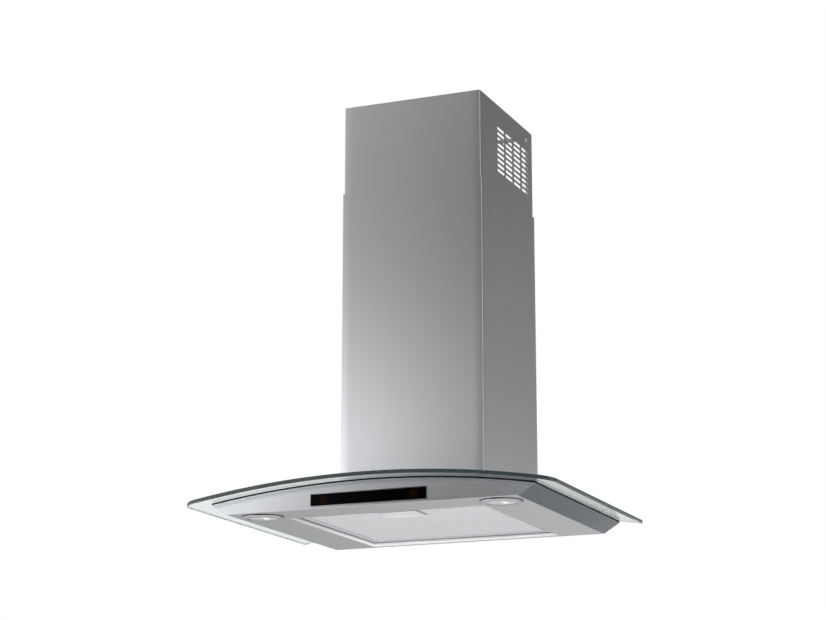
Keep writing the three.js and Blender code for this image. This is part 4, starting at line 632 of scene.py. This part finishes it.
rings = [ring(inner + (outer - inner) * share, 0) for share in spans]
rings += [ring(reach_of(angles, hub, inset, **GLASS), rise) for inset, rise, _ in EDGE]
rings += [ring(inner + (outer - inner) * share, THICK) for share in spans[::-1]]
grid = np.array(rings)
faces = ring_faces(len(rings), len(angles))
row_of_face = np.repeat(np.arange(len(rings)), len(angles))
opening_row = len(rings) - 1
ground_rows = len(spans) + np.arange(2, len(EDGE) - 1)
picks = np.isin(row_of_face, [*ground_rows, opening_row]).astype(int)
canopy_glass = outward(piece("canopy_glass", grid, faces, [clear_glass, edge_glass], "hood",
                             picks, sharp=60))
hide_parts("glass_canopy")

# %% [markdown]
# ## Exact normals
# Light crosses the glass at a slant at which a normal that is one degree off turns
# a window into a mirror. So each point gets the exact normal of the bend, and not
# the average of the faces round it. Round the edge the normal is a mix of the
# bend's, up, and the outline's, out, which is the slope of the distance to it.

# %% Give the glass its exact normals
x, y = grid[..., 0] / MM, grid[..., 1] / MM
up = np.stack([x, np.zeros_like(x), np.sqrt(BEND ** 2 - x ** 2)], -1) / BEND
h = 0.01
out = np.stack([round_box_distance(x + h, y, **GLASS) - round_box_distance(x - h, y, **GLASS),
                round_box_distance(x, y + h, **GLASS) - round_box_distance(x, y - h, **GLASS),
                np.zeros_like(x)], -1) / (2 * h)
climb = [-90.0] * len(spans) + [angle for _, _, angle in EDGE] + [90.0] * len(spans)
climb = np.radians(climb)[:, None, None]
exact = np.cos(climb) * out + np.sin(climb) * up
mesh = canopy_glass.data
corners = np.empty(len(mesh.loops), np.int32)
mesh.loops.foreach_get("vertex_index", corners)
normals = exact.reshape(-1, 3)[corners].reshape(-1, 4, 3)
walls = row_of_face == opening_row
face_normals = np.empty(len(mesh.polygons) * 3, np.float32)
mesh.polygons.foreach_get("normal", face_normals)
normals[walls] = face_normals.reshape(-1, 1, 3)[walls]
mesh.normals_split_custom_set(normals.reshape(-1, 3).tolist())
print("the glass has", len(mesh.polygons), "faces")

# %% [markdown]
# ## The chimney covers
# Each cover is one sheet of 0.8 mm steel, folded four times on a press brake, so
# its corners are round, about 1.5 mm outside, and catch a thin bright line. The
# sheet's outline in plan is a line with round bends, so the first thing that it
# needs is a function that runs a line round bends, and one that divides it.

# %% Run a line round bends


def folded_line(corners, radius, steps=7):
    """Points along straight runs joined by arcs of a quarter turn."""
    corners = np.array(corners, float)
    points, normals = [corners[0]], []
    for a, b, c in zip(corners[:-2], corners[1:-1], corners[2:]):
        into, out = (b - a) / np.linalg.norm(b - a), (c - b) / np.linalg.norm(c - b)
        turn = np.sign(into[0] * out[1] - into[1] * out[0])
        side = turn * np.array([-into[1], into[0]])
        centre = b - into * radius + side * radius
        swing = np.linspace(0, math.pi / 2, steps)[:, None]
        points.extend(centre - side * radius * np.cos(swing) + into * radius * np.sin(swing))
    points.append(corners[-1])
    return np.array(points)


def divided(points, step):
    """More points along the straight runs, no further apart than step."""
    out = [points[:1]]
    for a, b in zip(points[:-1], points[1:]):
        count = max(int(np.ceil(np.linalg.norm(b - a) / step)), 1)
        out.append(a + (b - a) * (np.arange(1, count + 1) / count)[:, None])
    return np.concatenate(out)


print("a bend has", len(folded_line([(0, 0), (9, 0), (9, 9)], 1)) - 2, "points")

# %% [markdown]
# ## From a line to a cover
# The line is thickened to both sides and drawn up, which gives every point of it a
# small ring of four points. A Solidify modifier could thicken the sheet too, but
# the rings close the sheet's ends as well, and let the foot of the lower cover
# follow the bend of the glass that it stands on.

# %% Fold the covers
SHEET = 0.8
FOLD = 1.5  # radius of the outside of a fold
FOLD_BACK = 12  # width of the folds along the wall
STRIP = 14  # widest strip of a cover, so that its foot follows the bend of the glass


def cover(name, half_width, front, rear, low, high, body, node):
    """A folded sheet drawn up from low(x) to high. Each point of its plan gives a small
    four-sided ring: outer foot, outer top, inner top, inner foot."""
    half = SHEET / 2
    x, end = half_width - half, half_width - FOLD_BACK
    line = folded_line([(-end, rear - half), (-x, rear - half), (-x, front + half),
                        (x, front + half), (x, rear - half), (end, rear - half)], FOLD - half)
    line = divided(line, STRIP)
    along = np.gradient(line, axis=0)
    along /= np.linalg.norm(along, axis=1)[:, None]
    normal = np.stack([-along[:, 1], along[:, 0]], 1)
    rings = []
    for side, top in ((-1, False), (-1, True), (1, True), (1, False)):
        at = line + side * half * normal
        z = np.full(len(at), float(high)) if top else low(at[:, 0])
        rings.append(np.column_stack([at, z - DROP]))
    grid = np.array(rings).transpose(1, 0, 2) * MM
    count = len(grid)
    ends = [(3, 2, 1, 0), tuple(4 * (count - 1) + np.arange(4))]
    faces = [*ring_faces(count, 4, close_rows=False), *ends]
    made = outward(piece(name, grid, faces, [chimney_steel], body))
    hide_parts(node)
    return made


SEAT = 0.3  # what the sheet stands off the glass


def glass_top(x):
    """The height of the top of the glass at x, and the seat's gap over it."""
    return CROWN - BEND + np.sqrt((BEND + THICK + SEAT) ** 2 - x ** 2)


def level_foot(x):
    """The foot of the upper cover, which ends inside the lower one."""
    return np.full(len(x), 215.4)


cover("lower_cover", half_width=121.55, front=-249.7, rear=0.0, low=glass_top, high=546.9,
      body="hood", node="lower_chimney")
upper_cover = cover("upper_cover_sheet", half_width=119.25, front=-248.55, rear=-1.1,
                    low=level_foot, high=695.4, body="upper_cover", node="upper_chimney")

# %% [markdown]
# ## The punched vents
# Air that is blown back into the room leaves through a field of slots in both
# sides of the upper cover: four columns of nine, with round ends, as a punch press
# cuts them. A see-through pattern would look flat at a slant, so the slots are
# cut for real: the punches are one mesh of flat rods that reach through both
# sides, and are taken away from the sheet.

# %% Punch the vents
VENT_Y = -37.8 - 38.4 * np.arange(4)
VENT_Z = 655.4 - 9 * np.arange(9)


def punches(half_length, half_height, corner, reach):
    """Rods along x whose section is a slot with four round corners."""
    swing = np.linspace(0, math.pi / 2, 4)
    signs = np.array([(1, 1), (-1, 1), (-1, -1), (1, -1)], float)
    turns = np.concatenate([swing + k * math.pi / 2 for k in range(4)])
    y = np.repeat(signs[:, 0], 4) * (half_length - corner) + corner * np.cos(turns)
    z = np.repeat(signs[:, 1], 4) * (half_height - corner) + corner * np.sin(turns)
    count = len(y)
    one = np.array([np.column_stack([np.full(count, x), y, z]) for x in (-reach, reach)])
    places = np.array([(0, cy, cz - DROP) for cy in VENT_Y for cz in VENT_Z])
    points = (one.reshape(1, -1, 3) + places[:, None, :]).reshape(-1, 3) * MM
    walls = ring_faces(2, count, close_rows=False)
    faces = []
    for base in 2 * count * np.arange(len(places)):
        faces.extend((walls + base).tolist())
        faces.append((base + np.arange(count)[::-1]).tolist())
        faces.append((base + count + np.arange(count)).tolist())
    return points, faces


points, faces = punches(half_length=15.7, half_height=2.4, corner=1.0, reach=140)
punch_mesh = bpy.data.meshes.new("punches")
punch_mesh.from_pydata(points.tolist(), [], faces)
punch = bpy.data.objects.new("punches", punch_mesh)
bpy.context.scene.collection.objects.link(punch)


def apply_modifiers(made):
    """Puts the shape that an object's modifiers give it into its mesh."""
    bpy.context.view_layer.update()
    shaped = bpy.data.meshes.new_from_object(made.evaluated_get(bpy.context.evaluated_depsgraph_get()))
    made.modifiers.clear()
    made.data = shaped


cutting = upper_cover.modifiers.new("vents", "BOOLEAN")
cutting.object, cutting.operation, cutting.solver = punch, "DIFFERENCE", "EXACT"
apply_modifiers(upper_cover)
bpy.data.objects.remove(punch)
upper_cover.data.set_sharp_from_angle(angle=math.radians(SHARP))
print("the vented cover has", len(upper_cover.data.polygons), "faces")

# %% [markdown]
# ## Sheet metal and mouldings with soft edges
# No folded or moulded edge is sharp. Where the plain solid has the right shape, a
# copy of it is merged, its flat faces are joined, and a narrow bevel takes the
# edges off, so that they catch the light. The bevel is made in the mesh and not
# by a modifier, because each kind of edge gets a width of its own.

# %% Soften the edges
MERGE = 1e-5  # metres between points that are one
FLAT, CREASE = 0.4, 40  # degrees between faces that are one, and that meet in an edge


def weigh_normals(made):
    """Turns the normals of a bevelled piece so that its flat faces look flat."""
    flat = made.modifiers.new("flat_faces_stay_flat", "WEIGHTED_NORMAL")
    flat.keep_sharp, flat.weight = True, 100
    apply_modifiers(made)


def softened(node, name, materials, body, bevels, steps=3):
    """A bevelled copy of a CAD node. Each bevel is its width in millimetres, a test that
    picks its edges by their two ends, or None for all of them, and the material that its
    faces get, or -1 for their neighbours'."""
    work = bmesh.new()
    work.from_mesh(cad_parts[node].data)
    bmesh.ops.remove_doubles(work, verts=work.verts, dist=MERGE)
    bmesh.ops.dissolve_limit(work, angle_limit=math.radians(FLAT), verts=work.verts,
                             edges=work.edges)
    soft = 0
    lift = Vector((0, 0, DROP))
    for width, folds, coat in bevels:
        edges = [e for e in work.edges
                 if len(e.link_faces) == 2 and e.calc_face_angle() > math.radians(CREASE)
                 and (folds is None or folds(*[v.co / MM + lift for v in e.verts]))]
        bmesh.ops.bevel(work, geom=edges, offset=width * MM, segments=steps, affect="EDGES",
                        clamp_overlap=folds is None, profile=0.5, material=coat)
        soft += len(edges)
    mesh = bpy.data.meshes.new(name)
    work.to_mesh(mesh)
    work.free()
    for material in materials:
        mesh.materials.append(material)
    mesh.shade_smooth()
    mesh.set_sharp_from_angle(angle=math.radians(SHARP))
    made = bpy.data.objects.new(name, mesh)
    bpy.context.scene.collection.objects.link(made)
    weigh_normals(made)
    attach(made, body)
    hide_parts(node)
    print(name, "has", soft, "soft edges")
    return made


# %% [markdown]
# ## The tray's edges
# The tray is folded along its lower edges and ground where its leaning walls meet.
# Round the filter's opening the sheet is drawn to a wider curve and painted almost white, a painted
# highlight that shows as a bright line. Each kind of edge is picked by a test of where its two ends
# are, in millimetres over the tray's underside.

# %% Tell the edges apart
FILTER = [[v / MM for v in corner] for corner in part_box("filter_frame")]
OPENING_HALF = FILTER[1][0] + 3  # a line just outside the opening's sides
OPENING_FRONT = FILTER[0][1] - 6
OPENING_REAR = -22.0
TRAY_HALF = 236
LOW, LONG_EDGE, SAME = 0.05, 200, 0.1


def long_and_low(a, b):
    """Whether an edge runs along the tray's underside."""
    return max(a.z, b.z) < LOW and (a - b).length > LONG_EDGE


def at_opening(a, b):
    """The lower edges of the filter's opening."""
    return (long_and_low(a, b) and max(abs(a.x), abs(b.x)) < OPENING_HALF
            and min(a.y, b.y) > OPENING_FRONT)


def tray_folds(a, b):
    """The long edges round the tray's underside."""
    return long_and_low(a, b) and max(abs(a.x), abs(b.x)) > OPENING_HALF


def tray_corners(a, b):
    """The tray's leaning corners."""
    return min(abs(a.x), abs(b.x)) > TRAY_HALF and abs(a.z - b.z) > 8 and abs(a.y - b.y) < SAME


print("the opening's edges lie behind y =", round(OPENING_FRONT, 1), "mm")

# %% [markdown]
# ## The tray and the small mouldings
# The bevels go round the tray in one pass, each with its width. The curve at the
# opening's rear is higher than it is deep, which a bevel can't be, so its points
# are drawn up afterwards, and the normals are weighed again.

# %% Soften the tray and the small pieces
CURVE, REAR_CURVE = 2.5, 5.4  # depth of the curve at the opening, and its height at the rear
# The curve at the opening gets the second finish, the painted highlight.
tray = softened("canopy_body", "tray_shell", [tray_steel, edge_steel_painted_highlight], "hood",
                [(CURVE, at_opening, 1), (0.8, tray_folds, -1), (0.4, tray_corners, -1)], steps=5)
points = np.empty(len(tray.data.vertices) * 3)
tray.data.vertices.foreach_get("co", points)
points = points.reshape(-1, 3)
across, along, rise = np.abs(points[:, 0]) / MM, points[:, 1] / MM, points[:, 2] / MM + DROP
at_rear = ((across < OPENING_HALF + CURVE) & (along > OPENING_REAR - LOW)
           & (along < OPENING_REAR + CURVE + LOW) & (rise > 0.01) & (rise < CURVE + LOW))
points[at_rear, 2] = (rise[at_rear] * REAR_CURVE / CURVE - DROP) * MM
tray.data.vertices.foreach_set("co", points.ravel())
weigh_normals(tray)
print("the rear curve is drawn up at", int(at_rear.sum()), "points")
for node, name, coat, body, slot, width in (
        ("control_frame", "control_trim", chrome, "hood", "bright_chrome", 0.25),
        ("control_panel", "control_glass", black_glass, "hood", "black_glass", 0.3),
        ("filter_frame", "filter_rim", rail_aluminium, "grease_filter", "filter_aluminium", 0.35),
        ("latch_guide", "latch_tray", rail_aluminium, "grease_filter", "filter_aluminium", 0.3)):
    softened(node, name, [coat], body, [(width, None, -1)])
handle = softened("filter_latch", "latch_handle", [filter_aluminium], "latch",
                  [(0.4, None, -1)])

# %% [markdown]
# ## The dish in the latch's handle
# A shallow dish is pressed into the handle for the finger that pulls it. It is a
# flat block with leaning sides, taken away from the plate.

# %% Press the dish
PLATE = dict(x=34.0, front=-311.0, rear=-264.0, z=4.0)
MOUTH, BED = (3.8, -0.2), (5.1, 0.9)  # how far each lies inside the plate's edge, and its height
dish_points = [(sx * (PLATE["x"] - inset),
                PLATE["front"] + inset if sy < 0 else PLATE["rear"] - inset,
                PLATE["z"] + height - DROP)
               for inset, height in (MOUTH, BED)
               for sx, sy in ((-1, -1), (1, -1), (1, 1), (-1, 1))]
dish_mesh = bpy.data.meshes.new("dish")
dish_mesh.from_pydata((np.array(dish_points) * MM).tolist(), [],
                      [(3, 2, 1, 0), (4, 5, 6, 7), (0, 1, 5, 4), (1, 2, 6, 5), (2, 3, 7, 6),
                       (3, 0, 4, 7)])
dish = bpy.data.objects.new("dish", dish_mesh)
bpy.context.scene.collection.objects.link(dish)
pressing = handle.modifiers.new("dish", "BOOLEAN")
pressing.object, pressing.operation, pressing.solver = dish, "DIFFERENCE", "EXACT"
apply_modifiers(handle)
bpy.data.objects.remove(dish)
handle.data.set_sharp_from_angle(angle=math.radians(SHARP))
print("the handle has", len(handle.data.polygons), "faces")

# %% [markdown]
# ## The lamps
# Each lamp is a low chrome ring over a black seal, with a frosted lens behind it.
# They are turned shapes: a profile of radius and height, carried round the axis.

# %% Turn the lamps
LAMP_X, LAMP_Y = 196.0, -372.0
# The lens's bright spot is a painted highlight, set this far to the right of its middle.
HIGHLIGHT_SHIFT = 6  # how far the bright spot lies to the right of the lens's middle


def turned(name, profile, centre, materials, body, node, steps=96):
    """Carries a profile of (radius, height) round the z axis at centre: x and y are the
    centre plus the radius times cosine and sine. A profile that starts and ends at radius
    0 closes at its poles."""
    profile = np.array(profile, float)
    angle = np.linspace(0, 2 * math.pi, steps, endpoint=False)
    x = centre[0] + profile[:, :1] * np.cos(angle)
    y = centre[1] + profile[:, :1] * np.sin(angle)
    z = np.repeat(profile[:, 1:] - DROP, steps, 1)
    grid = np.stack([x, y, z], -1) * MM
    faces = ring_faces(len(profile), steps, close_rows=profile[0, 0] > 0)
    made = piece(name, grid, faces, materials, body)
    work = bmesh.new()
    work.from_mesh(made.data)
    bmesh.ops.remove_doubles(work, verts=work.verts, dist=1e-6)
    bmesh.ops.recalc_face_normals(work, faces=work.faces)
    work.to_mesh(made.data)
    work.free()
    outward(made)
    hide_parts(node)


BEZEL = [(22.9, -2.35), (23.2, -2.75), (23.9, -2.9), (29.6, -2.9), (31.6, -2.7), (32.6, -2.1),
         (33.0, -1.5), (33.0, -0.9), (32.7, -0.9), (32.7, -1.8), (26.6, -1.8), (26.6, 6.0),
         (25.5, 6.0), (25.5, -1.8), (23.2, -1.8), (22.9, -2.0)]
LENS = [(0.0, -2.5), (6.0, -2.4), (9.5, -2.25), (9.9, -2.0), (10.4, -2.0), (10.8, -2.2),
        (18.0, -1.9), (22.6, -1.6), (24.6, -1.5), (24.6, 0.1), (0.0, 0.1)]
for side, x in (("left", -LAMP_X), ("right", LAMP_X)):
    centre = (x, LAMP_Y)
    turned(f"lamp_ring_{side}", BEZEL, centre, [satin_chrome], "hood",
           f"lamp_bezel_{side}")
    # The lens glows with a painted highlight a little to the right of its middle.
    glass = frosted_lens_with_painted_highlight(f"opal_polycarbonate_painted_highlight_{side}", ((x + HIGHLIGHT_SHIFT) * MM, LAMP_Y * MM, 0))
    turned(f"lamp_glass_{side}", LENS, centre, [glass], "hood",
           f"lamp_lens_{side}")

# %% [markdown]
# ## The expanded mesh of the filter
# The face of the grease filter is expanded aluminium: a sheet slit in rows and
# pulled, so that the slits open to diamonds, 10 by 5 mm here, coarse enough to
# show. Each diamond is a frame of four strands, worked out once and set down at
# every place of the grid, and Solidify gives the flat net its thickness. A bump
# pattern would be lighter, but the core behind the net would not show through.

# %% Expand the mesh
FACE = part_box("filter_face_lower")
left, front = FACE[0][0] / MM, FACE[0][1] / MM
right, rear = FACE[1][0] / MM, FACE[1][1] / MM
WIDE, DEEP, HOLE = 5.0, 2.5, 0.66  # half a diamond's sizes, and the share of it that is open
LATCH_HALF, LATCH_REAR = 27, -264.4  # the latch's guide, which the net leaves free
rows = np.arange(int((rear - front) / DEEP) - 1)
columns = np.arange(int((right - left) / (2 * WIDE)) - 1)
r, c = np.meshgrid(rows, columns, indexing="ij")
cx = left + WIDE * (1.0 + 2 * c + (r % 2)).ravel()
cy = front + DEEP * (1.0 + r).ravel()
bay = (np.abs(cx) < LATCH_HALF - WIDE * 0.4) & (cy < LATCH_REAR - DEEP)
cx, cy = cx[~bay], cy[~bay]
diamond = np.array([(1, 0), (0, 1), (-1, 0), (0, -1)], float) * (WIDE, DEEP)
corners = np.concatenate([diamond, diamond * HOLE])
flat = np.stack([cx, cy], 1)[:, None, :] + corners[None]
net = np.concatenate([flat, np.full(flat.shape[:2] + (1,), FACE[0][2] / MM)], -1).reshape(-1, 3) * MM
k = np.arange(4)
strand = np.stack([k, (k + 1) % 4, 4 + (k + 1) % 4, 4 + k], 1)
faces = (strand[None] + 8 * np.arange(len(cx))[:, None, None]).reshape(-1, 4)
filter_net = piece("filter_net", net, faces[:, ::-1], [filter_aluminium], "grease_filter")
work = bmesh.new()
work.from_mesh(filter_net.data)
bmesh.ops.remove_doubles(work, verts=work.verts, dist=2e-5)
work.to_mesh(filter_net.data)
work.free()
thick = filter_net.modifiers.new("thickness", "SOLIDIFY")
thick.thickness, thick.offset = 0.5 * MM, 0.0
apply_modifiers(filter_net)
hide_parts("filter_face_lower")
print("the net has", len(cx), "diamonds")

# %% [markdown]
# ## The rest of the hood
# What is left is hidden behind the glass and the covers, or shows only through
# them and through gaps. It keeps its plain solid, and gets the finish of the real
# piece: a table says which finish goes on which solids.

# %% Finish the hidden pieces
FINISHES = {
    galvanised: ["top_deck", "blower_chassis", "wall_rail", "chimney_bracket", "chimney_clip_left",
                 "chimney_clip_right", "motor_bracket"],
    zinc: [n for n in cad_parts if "screw" in n] + ["motor_shaft", "flap_axle",
                                                         "capacitor_clip", "latch_spring"],
    filter_aluminium: ["filter_core", "filter_face_upper"],
    cast_aluminium: ["lamp_module_left", "lamp_module_right"],
    rubber: ["glass_gasket", "lamp_seal_left", "lamp_seal_right"],
    dark_plastic: ["control_housing", "scroll_left", "scroll_right", "outlet_collar", "electronics_box",
                   "electronics_lid", "cable_gland"],
    grey_plastic: ["impeller", "flap_front", "flap_rear", "motor_capacitor"],
    solder_mask: ["control_board"],
    motor_shell: ["blower_motor"],
}
for material, names in FINISHES.items():
    for name in names:
        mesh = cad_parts[name].data
        mesh.materials.clear()
        mesh.materials.append(material)
print("finished", sum(map(len, FINISHES.values())), "solids")
